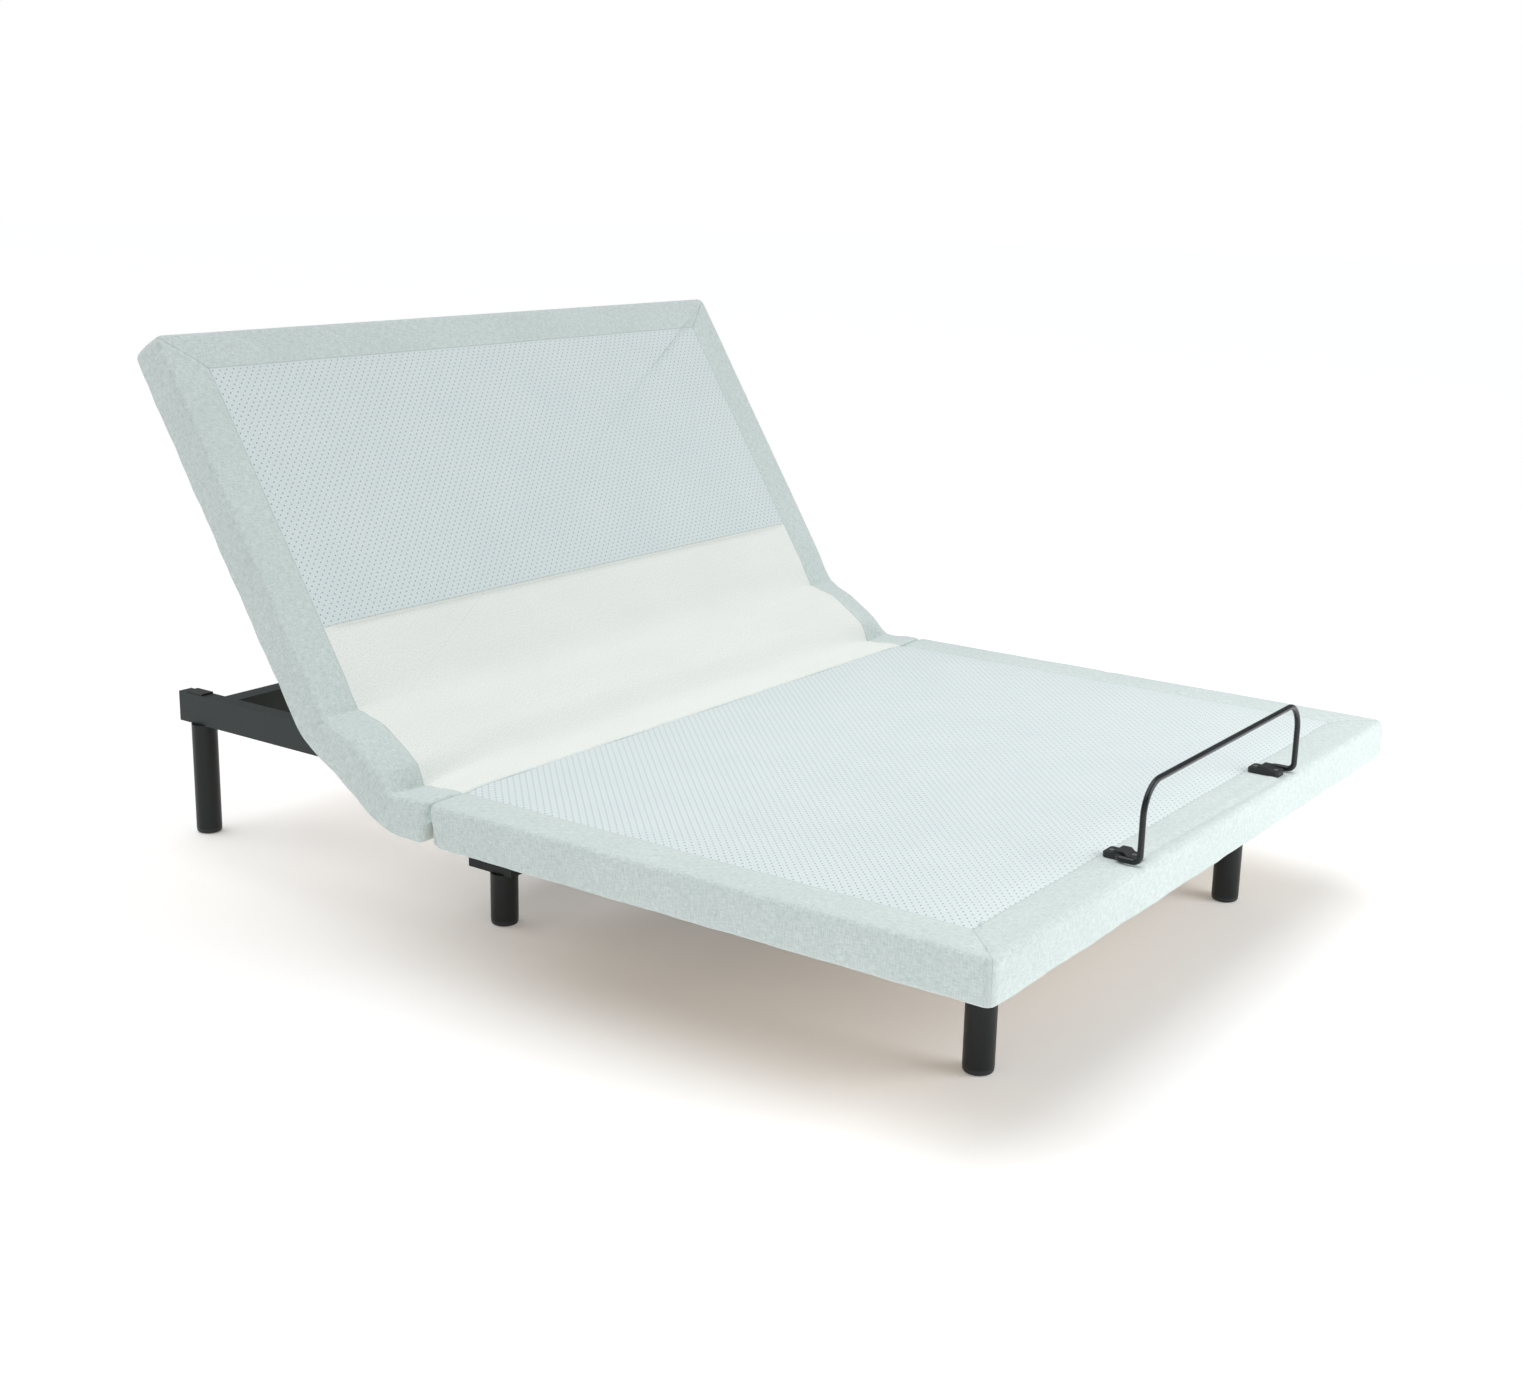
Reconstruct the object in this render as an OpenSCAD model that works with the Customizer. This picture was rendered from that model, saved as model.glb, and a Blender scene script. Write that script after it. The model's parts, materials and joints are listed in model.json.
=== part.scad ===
// Adjustable bed base: a steel frame on six legs carries five hinged, upholstered platform sections.
// The back lifts over a lumbar section and the thigh lifts with the foot section. The back is drawn raised.
// Side view coordinates: y runs from the foot end of the flat platform toward the head, z is up from the floor.

/* [Platform] */
// Width of the platform
platform_w = 1524; // [1370:1:1530]
// Height of the flat platform's top above the floor
platform_h = 318; // [310:1:360]
// Length of the foot section
foot_len = 580; // [560:1:600]
// Length of the thigh section
thigh_len = 454; // [440:1:470]
// Length of the fixed seat section
seat_len = 90; // [88:1:110]
// Length of the lumbar section
lumbar_len = 190; // [180:1:200]
// Length of the back section
back_len = 718; // [700:1:730]
// Thickness of the plywood boards
board_t = 15; // [12:0.5:18]
// Thickness of the foam topper
foam_t = 14; // [12:0.5:16]
// Height of the upholstered side band
band_h = 70; // [66:1:74]
// Thickness of the foam and cloth round the sides
band_t = 12; // [10:0.5:14]
// Thickness of the timber apron rails
apron_t = 25; // [20:1:28]

/* [Pose drawn] */
// Tilt of the raised back
back_tilt = 57.7; // [50:0.1:60]
// Tilt of the lumbar section under it
lumbar_tilt = 32.9; // [28:0.1:34]

/* [Frame] */
// Width of the side rail tube
rail_w = 30; // [28:1:34]
// Height of the side rail tube
rail_h = 60; // [56:1:62]
// Wall of the rail tubes
rail_wall = 2; // [1.5:0.1:3]
// Distance of each side rail from the middle plane
rail_x = 468; // [450:1:480]
// Head end of the side rails, with their caps
rail_head_y = 2000; // [1980:1:2004]
// Foot end of the side rails, with their caps
rail_foot_y = 42; // [40:1:44]
// Place of the joint between the rail halves
splice_y = 1142; // [1140:1:1144]
// Middle of the head cross tube, measured along the bed
head_cross_y = 1878; // [1850:1:1890]
// Width of the cross tubes
cross_w = 40; // [36:1:42]
// Height of the cross tubes below the rails
cross_h = 30; // [25:1:32]

/* [Legs] */
// Outer diameter of the legs
leg_d = 50; // [45:1:52]
// Wall of the leg tubes
leg_wall = 2; // [1.5:0.1:3]
// Place of the head legs
head_leg_y = 1946; // [1930:1:1950]
// Place of the mid legs
mid_leg_y = 1143; // [1140:1:1146]
// Place of the foot legs
foot_leg_y = 173; // [160:1:190]
// Underside of the splice hangers
hanger_z = 97; // [90:1:110]

/* [Mechanism] */
// Distance of the support tubes from the middle plane
support_x = 400; // [395:1:402]
// Side of the square support tubes
support_w = 25; // [20:1:25]
// Radius of the torque tubes
torque_r = 19; // [18:0.5:20]
// Place of the head torque tube
head_torque_y = 1200; // [1198:1:1202]
// Place of the leg torque tube
leg_torque_y = 960; // [958:1:962]
// Height of both torque tubes
torque_z = 250; // [249:0.5:251]
// Length of the head lift arms
head_arm_len = 360; // [355:1:365]
// Length of the leg lift arms
leg_arm_len = 300; // [295:1:305]
// Radius of the lift rollers
roller_r = 18; // [16:0.5:18]
// Drop of the actuator axes below the torque tubes
lever_drop = 125; // [120:1:130]
// Distance of each actuator from the middle plane
actuator_x = 120; // [115:1:130]
// Length of the foot struts
strut_len = 352; // [350:1:354]
// Place of the strut pivots
strut_y = 450; // [448:1:452]

/* [Retainer] */
// Distance of the retainer uprights from the middle plane
retainer_x = 308; // [290:1:330]
// Height of the retainer bar above the platform
retainer_h = 130; // [110:1:150]
// Radius of the retainer rod
rod_r = 5; // [4:0.5:6]
// Radius of the retainer's top corners
retainer_bend = 50; // [40:1:60]
// Place of the retainer pivot, from the foot end
retainer_y = 46; // [44:1:50]

/* [Hidden] */
$fn = 48;
gap = 0.3;              // clearance between parts that only rest on each other
run_fit = 0.06;         // radial clearance of a turning fit
seam = 0.05;            // between pieces of one welded or glued part that are kept apart
board_gap = 3;          // each board stops this far from a joint
pad_gap = 6;            // each pad stops this far from a joint
knee_gap = 9;           // and this far from the knee, where the lower edges close up

// heights
axis_z = platform_h - foam_t;            // hinge axes lie in the boards' top plane
board_z = axis_z - board_t;              // underside of the boards when flat
band_z = platform_h - band_h;            // underside of the side band when flat
rail_top = board_z - 4;                  // top of the side rails
rail_z = rail_top - rail_h;              // underside of the side rails
cross_z = rail_z - cross_h;              // underside of the low cross tubes
knee_z = board_z - 23;                   // knee axis, under the boards
actuator_z = torque_z - lever_drop;      // height of the actuator axes

// joints along the bed
knee_y = foot_len;
hip_y = knee_y + thigh_len;
waist_y = hip_y + seat_len;
y_mid = rail_head_y / 2;                 // middle of the whole base along the bed

// layout across and along the bed
inner_x = rail_x - rail_w / 2;           // inner face of the side rails
outer_x = rail_x + rail_w / 2;           // outer face of the side rails
half_w = platform_w / 2;
board_half = half_w - band_t;
hinge_xs = [-500, 0, 500];
hanger_y0 = 1110;
hanger_y1 = 1212;
hanger_wall = 3;
bolt_ys = [1122, 1160];
bolt_zs = [rail_z + 17, rail_z + 43];
bolt_r = 4;
anchor_y = [810, 1330];                  // rear pins of the head and leg actuators
anchor_side = [1, -1];
support_s0 = 20;                         // back support tubes, measured from the back hinge
support_s1 = 460;

// lever and arm angles, seen from the side with the head end to the right
contact_drop = axis_z - (board_z - support_w - roller_r - 0.5);
head_swing = 25.6;                       // lever angle from straight down, back raised
leg_swing = -20.65;                      // lever angle from straight down, legs flat (toward the head)
head_arm_angle = 50.5;                   // lift arm angle with the back raised
leg_arm_angle = 180.9;                   // lift arm angle with the legs flat
strut_r = 14;
strut_z = 240;
strut_angle = 180 - asin((board_z - support_w - strut_r - 0.5 - strut_z) / strut_len);
stroke_head = lever_drop * tan(head_swing);
stroke_leg = lever_drop * tan(-leg_swing);

// ---------- colours ----------
module slate() color([0.20, 0.23, 0.25]) children();
module black_paint() color([0.10, 0.11, 0.12]) children();
module black_plastic() color([0.07, 0.07, 0.08]) children();
module zinc() color([0.70, 0.71, 0.72]) children();
module plywood() color([0.76, 0.62, 0.42]) children();
module timber() color([0.83, 0.72, 0.52]) children();
module band_cloth() color([0.78, 0.82, 0.80]) children();
module nylon() color([0.90, 0.89, 0.85]) children();

// ---------- frames of reference ----------
// The row's frame has its origin under the middle of the whole base.
module placed() translate([0, -y_mid, 0]) children();

// Each section is drawn flat: x across, y away from its hinge, z up from the hinge axis plane.
module at_hip() placed() translate([0, hip_y, axis_z]) children();
module at_waist() placed() translate([0, waist_y, axis_z]) children();
module on_lumbar() at_waist() rotate([lumbar_tilt, 0, 0]) children();
module on_back() on_lumbar() translate([0, lumbar_len, 0]) rotate([back_tilt - lumbar_tilt, 0, 0]) children();
module on_seat() at_hip() children();
module on_thigh() at_hip() mirror([0, 1, 0]) children();
module on_foot() placed() translate([0, knee_y, axis_z]) mirror([0, 1, 0]) children();

// ---------- stock shapes ----------
module both_sides() {
    children();
    mirror([1, 0, 0]) children();
}

// Cylinder along X, centred on x0..x1
module rod_x(r, x0, x1) translate([x0, 0, 0]) rotate([0, 90, 0]) cylinder(r = r, h = x1 - x0);

// Cylinder along Y
module rod_y(r, y0, y1) translate([0, y0, 0]) rotate([-90, 0, 0]) cylinder(r = r, h = y1 - y0);

module block(x0, x1, y0, y1, z0, z1) translate([x0, y0, z0]) cube([x1 - x0, y1 - y0, z1 - z0]);

// Rectangular tube along Y
module tube_y(x0, x1, y0, y1, z0, z1, wall) difference() {
    block(x0, x1, y0, y1, z0, z1);
    block(x0 + wall, x1 - wall, y0 - 1, y1 + 1, z0 + wall, z1 - wall);
}

// Rectangular tube along X
module tube_x(x0, x1, y0, y1, z0, z1, wall) difference() {
    block(x0, x1, y0, y1, z0, z1);
    block(x0 - 1, x1 + 1, y0 + wall, y1 - wall, z0 + wall, z1 - wall);
}

// ---------- side rails ----------
cap_t = 3;
stud_hole = 5.4;

// A half rail on the right, with holes for its leg stud and splice bolts
module half_rail(y0, y1, leg_y) slate() placed() difference() {
    tube_y(inner_x, outer_x, y0, y1, rail_z, rail_top, rail_wall);
    translate([rail_x, leg_y, rail_z - 1]) cylinder(r = stud_hole, h = rail_wall + 2);
    for (y = bolt_ys) for (z = bolt_zs)
        translate([0, y, z]) rod_x(bolt_r + 0.3, inner_x - 1, outer_x + 1);
}
module head_rail_right() half_rail(splice_y, rail_head_y - cap_t, head_leg_y);
module head_rail_left() mirror([1, 0, 0]) head_rail_right();
module foot_rail_right() half_rail(rail_foot_y + cap_t, splice_y, foot_leg_y);
module foot_rail_left() mirror([1, 0, 0]) foot_rail_right();

module rail_end_caps() black_plastic() placed() both_sides() {
    block(inner_x, outer_x, rail_head_y - cap_t, rail_head_y, rail_z, rail_top);
    block(inner_x, outer_x, rail_foot_y, rail_foot_y + cap_t, rail_z, rail_top);
}

// ---------- cross tubes ----------
module head_cross_tube() slate() placed()
    tube_x(-inner_x, inner_x, head_cross_y - cross_w / 2, head_cross_y + cross_w / 2, rail_z, rail_top, rail_wall);

module foot_cross_tube() slate() placed()
    tube_x(-inner_x, inner_x, rail_foot_y + cap_t, rail_foot_y + cap_t + 28, rail_z, rail_top, rail_wall);

module anchor_tubes() black_paint() placed() for (y = anchor_y)
    tube_x(-outer_x, outer_x, y - cross_w / 2, y + cross_w / 2, cross_z, rail_z, rail_wall);

// ---------- splice hangers ----------
module splice_hanger_right() black_paint() placed() difference() {
    block(inner_x - hanger_wall, outer_x + hanger_wall, hanger_y0, hanger_y1, hanger_z, rail_top);
    // slot for the rails, open at both ends and on top
    block(inner_x, outer_x, hanger_y0 - 1, hanger_y1 + 1, rail_z, rail_top + 1);
    // hollow drop box under them
    block(inner_x, outer_x, hanger_y0 + hanger_wall, hanger_y1 - hanger_wall, hanger_z + 4, rail_z + 1);
    translate([rail_x, mid_leg_y, hanger_z - 1]) cylinder(r = stud_hole, h = 6);
    for (y = bolt_ys) for (z = bolt_zs)
        translate([0, y, z]) rod_x(bolt_r + 0.3, inner_x - 5, outer_x + 5);
}
module splice_hanger_left() mirror([1, 0, 0]) splice_hanger_right();

module splice_bolts() zinc() placed() both_sides() for (y = bolt_ys) for (z = bolt_zs)
    translate([0, y, z]) {
        rod_x(bolt_r, inner_x - hanger_wall - 9, outer_x + hanger_wall + 0.5);
        translate([outer_x + hanger_wall, 0, 0]) rotate([0, 90, 0]) cylinder(r = 7.5, h = 5.3, $fn = 6);
        translate([inner_x - hanger_wall - 6.5, 0, 0]) rotate([0, 90, 0]) cylinder(r = 7.5, h = 6.5, $fn = 6);
    }

// ---------- rest pads on the rail tops ----------
pad_len = 46;
module rest_pad(y, top) {
    block(inner_x + 1, outer_x - 1, y - pad_len / 2, y + pad_len / 2, rail_top, top);
}
module rest_pads() black_plastic() placed() both_sides() {
    for (y = [250, 520, 800]) rest_pad(y, board_z - gap);
    rest_pad(rail_head_y - 45, board_z - gap);
    rest_pad(rail_head_y - 380, board_z - gap);
    // packers screwed up into the fixed seat board
    block(inner_x + 1, outer_x - 1, hip_y + 12, waist_y - 12, rail_top, board_z);
}

// ---------- legs ----------
glide_h = 10;
module leg(y, top) translate([rail_x, y, 0]) difference() {
    translate([0, 0, glide_h]) cylinder(r = leg_d / 2, h = top - glide_h);
    translate([0, 0, glide_h - 1]) cylinder(r = leg_d / 2 - leg_wall, h = top - glide_h + 1 - 5);
    translate([0, 0, top - 6]) cylinder(r = 5, h = 7);
}
module head_legs() black_paint() placed() both_sides() leg(head_leg_y, rail_z);
module mid_legs() black_paint() placed() both_sides() leg(mid_leg_y, hanger_z);
module foot_legs() black_paint() placed() both_sides() leg(foot_leg_y, rail_z);

// A rounded plastic foot with a spigot inside the tube
module leg_glide(y) translate([rail_x, y, 0]) rotate_extrude() polygon([
    [0, 0], [leg_d / 2 - 5, 0], [leg_d / 2 - 2.2, 1.4], [leg_d / 2 - 0.6, 4], [leg_d / 2 - 0.2, glide_h],
    [leg_d / 2 - leg_wall, glide_h], [leg_d / 2 - leg_wall, glide_h + 14], [0, glide_h + 14]
]);
module leg_glides() black_plastic() placed() both_sides() for (y = [foot_leg_y, mid_leg_y, head_leg_y])
    leg_glide(y);

module leg_stud(y, seat, wall) translate([rail_x, y, 0]) {
    translate([0, 0, seat - 14]) cylinder(r = 5, h = 14 + wall + 14);
    translate([0, 0, seat + wall]) cylinder(r = 9, h = 8, $fn = 6);
}
module leg_studs() zinc() placed() both_sides() {
    leg_stud(foot_leg_y, rail_z, rail_wall);
    leg_stud(head_leg_y, rail_z, rail_wall);
    leg_stud(mid_leg_y, hanger_z, 4);
}

// ---------- torque tube bearings ----------
bearing_x = 432;
module tube_bearing(y, x_end) difference() {
    block(bearing_x, x_end, y - 25, y + 25, torque_z - 25, torque_z + 25);
    translate([0, y, torque_z]) rod_x(torque_r + run_fit, bearing_x - 1, x_end - 2);
}
module tube_bearings() nylon() placed() both_sides() {
    tube_bearing(head_torque_y, inner_x - hanger_wall);
    tube_bearing(leg_torque_y, inner_x);
}

// ---------- torque tubes, arms and levers ----------
module torque_tube(y) placed() translate([0, y, torque_z]) difference() {
    rod_x(torque_r, -bearing_x - 14, bearing_x + 14);
    rod_x(torque_r - 2.5, -bearing_x - 15, bearing_x + 15);
}
module head_torque_tube() black_paint() torque_tube(head_torque_y);
module leg_torque_tube() black_paint() torque_tube(leg_torque_y);

arm_x = support_x + 16;      // inner face of the arm plates
arm_t = 8;
axle_r = 6;

// Arm plate from the torque tube to the roller axle, along +Y before it is turned
module lift_arm(len) {
    difference() {
        union() {
            rod_x(torque_r + 12, arm_x, arm_x + arm_t);
            rod_x(15, arm_x, arm_x + arm_t);
            translate([arm_x, 0, -15]) cube([arm_t, len, 30]);
            translate([0, len, 0]) rod_x(15, arm_x, arm_x + arm_t);
        }
        rod_x(torque_r, arm_x - 1, arm_x + arm_t + 1);
    }
    // roller axle with its head
    translate([0, len, 0]) rod_x(axle_r, support_x - 14, arm_x);
    translate([0, len, 0]) rod_x(axle_r + 3, support_x - 16, support_x - 13);
}
module at_head_tube() placed() translate([0, head_torque_y, torque_z]) children();
module at_leg_tube() placed() translate([0, leg_torque_y, torque_z]) children();

module head_lift_arms() black_paint() at_head_tube() both_sides()
    rotate([head_arm_angle, 0, 0]) lift_arm(head_arm_len);
module leg_lift_arms() black_paint() at_leg_tube() both_sides()
    rotate([leg_arm_angle, 0, 0]) lift_arm(leg_arm_len);

module roller() difference() {
    rod_x(roller_r, support_x - 12.5, support_x + 12.5);
    rod_x(axle_r + run_fit, support_x - 13, support_x + 13);
}
module head_rollers() nylon() at_head_tube() both_sides()
    rotate([head_arm_angle, 0, 0]) translate([0, head_arm_len, 0]) roller();
module leg_rollers() nylon() at_leg_tube() both_sides()
    rotate([leg_arm_angle, 0, 0]) translate([0, leg_arm_len, 0]) roller();

// Pair of slotted plates that hang from the torque tube; the actuator's pin slides in the slots
pin_r = 6;
slot_half = 8.2;
slot_top = lever_drop - 3;
slot_end = lever_drop + 17;
lever_half = 20;
module lever() for (x = [-20, 14]) translate([x, 0, 0]) difference() {
    union() {
        rod_x(torque_r + 9, 0, 6);
        translate([0, -lever_half, -slot_end]) cube([6, 2 * lever_half, slot_end]);
        translate([0, 0, -slot_end]) rod_x(lever_half, 0, 6);
    }
    rod_x(torque_r, -1, 7);
    translate([0, 0, -slot_top]) rod_x(slot_half, -1, 7);
    translate([0, 0, -slot_end]) rod_x(slot_half, -1, 7);
    translate([-1, -slot_half, -slot_end]) cube([8, 2 * slot_half, slot_end - slot_top]);
}
module head_lever() black_paint() at_head_tube() translate([actuator_x, 0, 0]) rotate([head_swing, 0, 0]) lever();
module leg_lever() black_paint() at_leg_tube() translate([-actuator_x, 0, 0]) rotate([-leg_swing, 0, 0]) lever();

// ---------- actuators ----------
// Drawn pushing along +Y from a rear pin at the origin
tube_y0 = 95;
tube_y1 = 295;
rod_len = 197;
module actuator_motor() {
    difference() {
        union() {
            block(-30, 80, 35, tube_y0, -30, 30);
            block(-9, 9, 0, 36, -13, 13);
            rod_x(13, -9, 9);
            translate([52, 0, 0]) rod_y(26, tube_y0, tube_y0 + 108);
            translate([52, 0, 0]) rod_y(20, tube_y0 + 108, tube_y0 + 116);
        }
        rod_x(5 + run_fit, -10, 10);
    }
}
module actuator_tube() difference() {
    union() {
        rod_y(18, tube_y0, tube_y1);
        rod_y(21, tube_y1 - 16, tube_y1 - 2);
    }
    rod_y(10 + run_fit, tube_y0 + 8, tube_y1 + 1);
}
// The rod ends in an eye whose pin is at the origin
module actuator_rod() {
    rod_y(10, -rod_len - 18, -16);
    difference() {
        union() {
            block(-10, 10, -18, 0, -14, 14);
            rod_x(14, -10, 10);
        }
        rod_x(pin_r, -11, 11);
    }
    rod_x(pin_r, -23, 23);
}
module at_head_actuator() placed() translate([actuator_x, anchor_y[0], actuator_z]) children();
module at_leg_actuator() placed() translate([-actuator_x, anchor_y[1], actuator_z]) rotate([0, 0, 180]) children();

module head_actuator_motor() black_plastic() at_head_actuator() actuator_motor();
module head_actuator_tube() zinc() at_head_actuator() actuator_tube();
module leg_actuator_motor() black_plastic() at_leg_actuator() actuator_motor();
module leg_actuator_tube() zinc() at_leg_actuator() actuator_tube();

module head_rod() zinc() placed()
    translate([actuator_x, head_torque_y + stroke_head, actuator_z]) actuator_rod();
module leg_rod() zinc() placed()
    translate([-actuator_x, leg_torque_y + stroke_leg, actuator_z]) rotate([0, 0, 180]) actuator_rod();

// Bracket plates under each anchor tube, with the rear pin
module actuator_anchors() black_paint() placed() for (i = [0, 1])
    translate([anchor_side[i] * actuator_x, anchor_y[i], 0]) {
        for (x = [-16, 10]) difference() {
            union() {
                block(x, x + 6, -17, 17, actuator_z, cross_z);
                translate([0, 0, actuator_z]) rod_x(17, x, x + 6);
            }
            translate([0, 0, actuator_z]) rod_x(5, x - 1, x + 7);
        }
        translate([0, 0, actuator_z]) rod_x(5, -19, 19);
    }

// ---------- control box ----------
box_x = 68;
box_y0 = 735;
box_y1 = 895;
box_z = cross_z - 46;
module control_box() black_plastic() placed() difference() {
    block(-box_x, box_x, box_y0, box_y1, box_z, cross_z);
    // recess for the power inlet and two sockets for the actuator leads
    block(-14, 14, box_y0 - 1, box_y0 + 16, box_z + 12, box_z + 32);
    for (x = [-45, 45]) translate([x, 0, box_z + 22]) rod_y(6, box_y1 - 14, box_y1 + 1);
    // finger grooves along the lower edges
    for (x = [-box_x, box_x]) for (i = [0:4])
        translate([x, box_y0 + 45 + i * 17, box_z - 1]) cylinder(r = 3, h = 30);
}
module power_inlet() black_plastic() placed() difference() {
    block(-13.5, 13.5, box_y0 - 2, box_y0 + 16, box_z + 12.5, box_z + 31.5);
    block(-10.5, 10.5, box_y0 - 3, box_y0 + 12, box_z + 15.5, box_z + 28.5);
}

// ---------- boards ----------
// Board of one section from its hinge at y = 0 to y = len, notched round hinge knuckles at the ends asked for
module board(len, near_gap, far_gap, near_notch, far_notch) plywood() difference() {
    block(-board_half, board_half, near_gap, len - far_gap, -board_t, 0);
    for (x = hinge_xs) {
        if (near_notch) block(x - 32, x + 32, -1, 6.5, -board_t - 1, 1);
        if (far_notch) block(x - 32, x + 32, len - 6.5, len + 1, -board_t - 1, 1);
    }
}
module seat_board() on_seat() board(seat_len, board_gap, board_gap, true, true);
module lumbar_board() on_lumbar() board(lumbar_len, board_gap, board_gap, true, true);
module back_board() on_back() board(back_len, board_gap, band_t, true, false);
module thigh_board() on_thigh() board(thigh_len, board_gap, board_gap, true, false);
module foot_board() difference() {
    on_foot() board(foot_len, board_gap, band_t, false, false);
    retainer_holes();
}

// ---------- upholstered pads ----------
// Foam topper and side bands of one section. Without an apron the band is as thick as band and apron together.
module pad(len, near_gap, far_gap, near_hinge, far_hinge, end_band, apron) {
    y1 = end_band ? len : len - far_gap;
    low = band_h - foam_t;
    lower_in = apron ? board_half : board_half - apron_t;
    side_y1 = end_band ? len - band_t : y1;
    difference() {
        union() {
            block(-half_w, half_w, near_gap, y1, 0, foam_t);
            both_sides() block(board_half, half_w, near_gap, side_y1 - seam, -low, -seam);
            if (!apron) both_sides() block(lower_in, board_half, near_gap, y1 - seam, -low, -board_t);
            if (end_band) block(-half_w, half_w, len - band_t, len, -low, -seam);
        }
        for (x = hinge_xs) {
            if (near_hinge) hinge_pocket(x, 0, 1);
            if (far_hinge) hinge_pocket(x, len, -1);
        }
    }
}
module hinge_pocket(x, y, way) translate([x, y, 0]) scale([1, way, 1]) {
    block(-33, 33, -1, 10, -1, foam_t + 1);
    block(-33, 33, 0, 39, -1, 3);
}
module seat_pad() band_cloth() on_seat() pad(seat_len, pad_gap, pad_gap, true, true, false, false);
module lumbar_pad() band_cloth() on_lumbar() pad(lumbar_len, pad_gap, pad_gap, true, true, false, false);
module back_pad() band_cloth() on_back() pad(back_len, pad_gap, 0, true, false, true, true);
module thigh_pad() band_cloth() on_thigh() pad(thigh_len, pad_gap, knee_gap, true, false, false, true);
module foot_pad() band_cloth() difference() {
    on_foot() pad(foot_len, knee_gap, 0, false, false, true, true);
    retainer_holes();
}

// ---------- timber aprons under the boards, inside the side bands ----------
module apron(y0, y1, end_rail) timber() {
    both_sides() block(board_half - apron_t, board_half, y0, y1, -(band_h - foam_t), -board_t);
    rail_half = board_half - apron_t - seam;
    if (end_rail) block(-rail_half, rail_half, y1 - 18, y1, -(band_h - foam_t), -board_t);
}
module back_apron() on_back() apron(pad_gap + 4, back_len - band_t, true);
module thigh_apron() on_thigh() apron(pad_gap + 4, thigh_len - knee_gap, false);
module foot_apron() on_foot() apron(knee_gap, foot_len - band_t, true);

// ---------- support frames ----------
module support_tube(y0, y1) both_sides() tube_y(support_x - support_w / 2, support_x + support_w / 2,
    y0, y1, -board_t - support_w, -board_t, 1.5);
module support_cross(y0) {
    end = support_x - support_w / 2 - seam;
    tube_x(-end, end, y0, y0 + support_w, -board_t - support_w, -board_t, 1.5);
}

module back_frame() black_paint() on_back() {
    support_tube(support_s0, support_s1);
    support_cross(support_s0 + 20);
    support_cross(support_s1 - 45);
}

knee_drop = axis_z - knee_z;             // knee axis below the hinge plane
lug_r = 12;
lug_top = -board_t - 1;
tube_clear = 20;                         // support tubes stop this far from the knee

// The thigh tubes end in a middle lug, the foot tubes in a fork with the pin
module thigh_frame() black_paint() on_thigh() {
    support_tube(104, thigh_len - tube_clear);
    support_cross(124);
    support_cross(thigh_len - 70);
    both_sides() difference() {
        union() {
            block(support_x - 4, support_x + 4, thigh_len - tube_clear, thigh_len, -knee_drop - lug_r, lug_top);
            translate([0, thigh_len, -knee_drop]) rod_x(lug_r, support_x - 4, support_x + 4);
        }
        translate([0, thigh_len, -knee_drop]) rod_x(5 + run_fit, support_x - 5, support_x + 5);
    }
}
module foot_frame() black_paint() on_foot() {
    support_tube(tube_clear, foot_len - 82);
    support_cross(tube_clear + 20);
    support_cross(foot_len - 150);
    both_sides() {
        for (x = [support_x - 12.5, support_x + 6.5]) difference() {
            union() {
                block(x, x + 6, 0, tube_clear, -knee_drop - lug_r, lug_top);
                translate([0, 0, -knee_drop]) rod_x(lug_r, x, x + 6);
            }
            translate([0, 0, -knee_drop]) rod_x(5, x - 1, x + 7);
        }
        translate([0, 0, -knee_drop]) rod_x(5, support_x - 15, support_x + 15);
    }
}

// ---------- butt hinges on top of the boards ----------
leaf_t = 2.5;
leaf_len = 36;
knuckle_r = 5.5;
hinge_pin_r = 2.5;
knuckle_half = 15;
leaf_half = 30;

// Leaf with the two outer knuckles and the pin, reaching toward +Y
module leaf_outer() {
    difference() {
        union() {
            block(-leaf_half, leaf_half, 6.3, leaf_len, 0, leaf_t);
            both_sides() block(knuckle_half + 0.2, leaf_half, 0, 7, 0, leaf_t);
            both_sides() rod_x(knuckle_r, knuckle_half + 0.2, leaf_half);
        }
        rod_x(hinge_pin_r, -leaf_half - 1, leaf_half + 1);
        leaf_holes();
    }
    rod_x(hinge_pin_r, -leaf_half, leaf_half);
}
// Leaf with the middle knuckle
module leaf_inner() difference() {
    union() {
        block(-leaf_half, leaf_half, 6.3, leaf_len, 0, leaf_t);
        block(-knuckle_half + 0.2, knuckle_half - 0.2, 0, 7, 0, leaf_t);
        rod_x(knuckle_r, -knuckle_half + 0.2, knuckle_half - 0.2);
    }
    rod_x(hinge_pin_r + run_fit, -leaf_half, leaf_half);
    leaf_holes();
}
module leaf_holes() for (x = [-20, 20]) translate([x, leaf_len - 12, -1]) cylinder(r = 2.3, h = leaf_t + 2);
module hinge_row() for (x = hinge_xs) translate([x, 0, 0]) children();

module seat_hinges() zinc() {
    at_hip() hinge_row() leaf_outer();
    at_waist() mirror([0, 1, 0]) hinge_row() leaf_outer();
}
module thigh_hinges() zinc() on_thigh() hinge_row() leaf_inner();
module lumbar_hinges() zinc() on_lumbar() {
    hinge_row() leaf_inner();
    translate([0, lumbar_len, 0]) mirror([0, 1, 0]) hinge_row() leaf_outer();
}
module back_hinges() zinc() on_back() hinge_row() leaf_inner();

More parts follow.
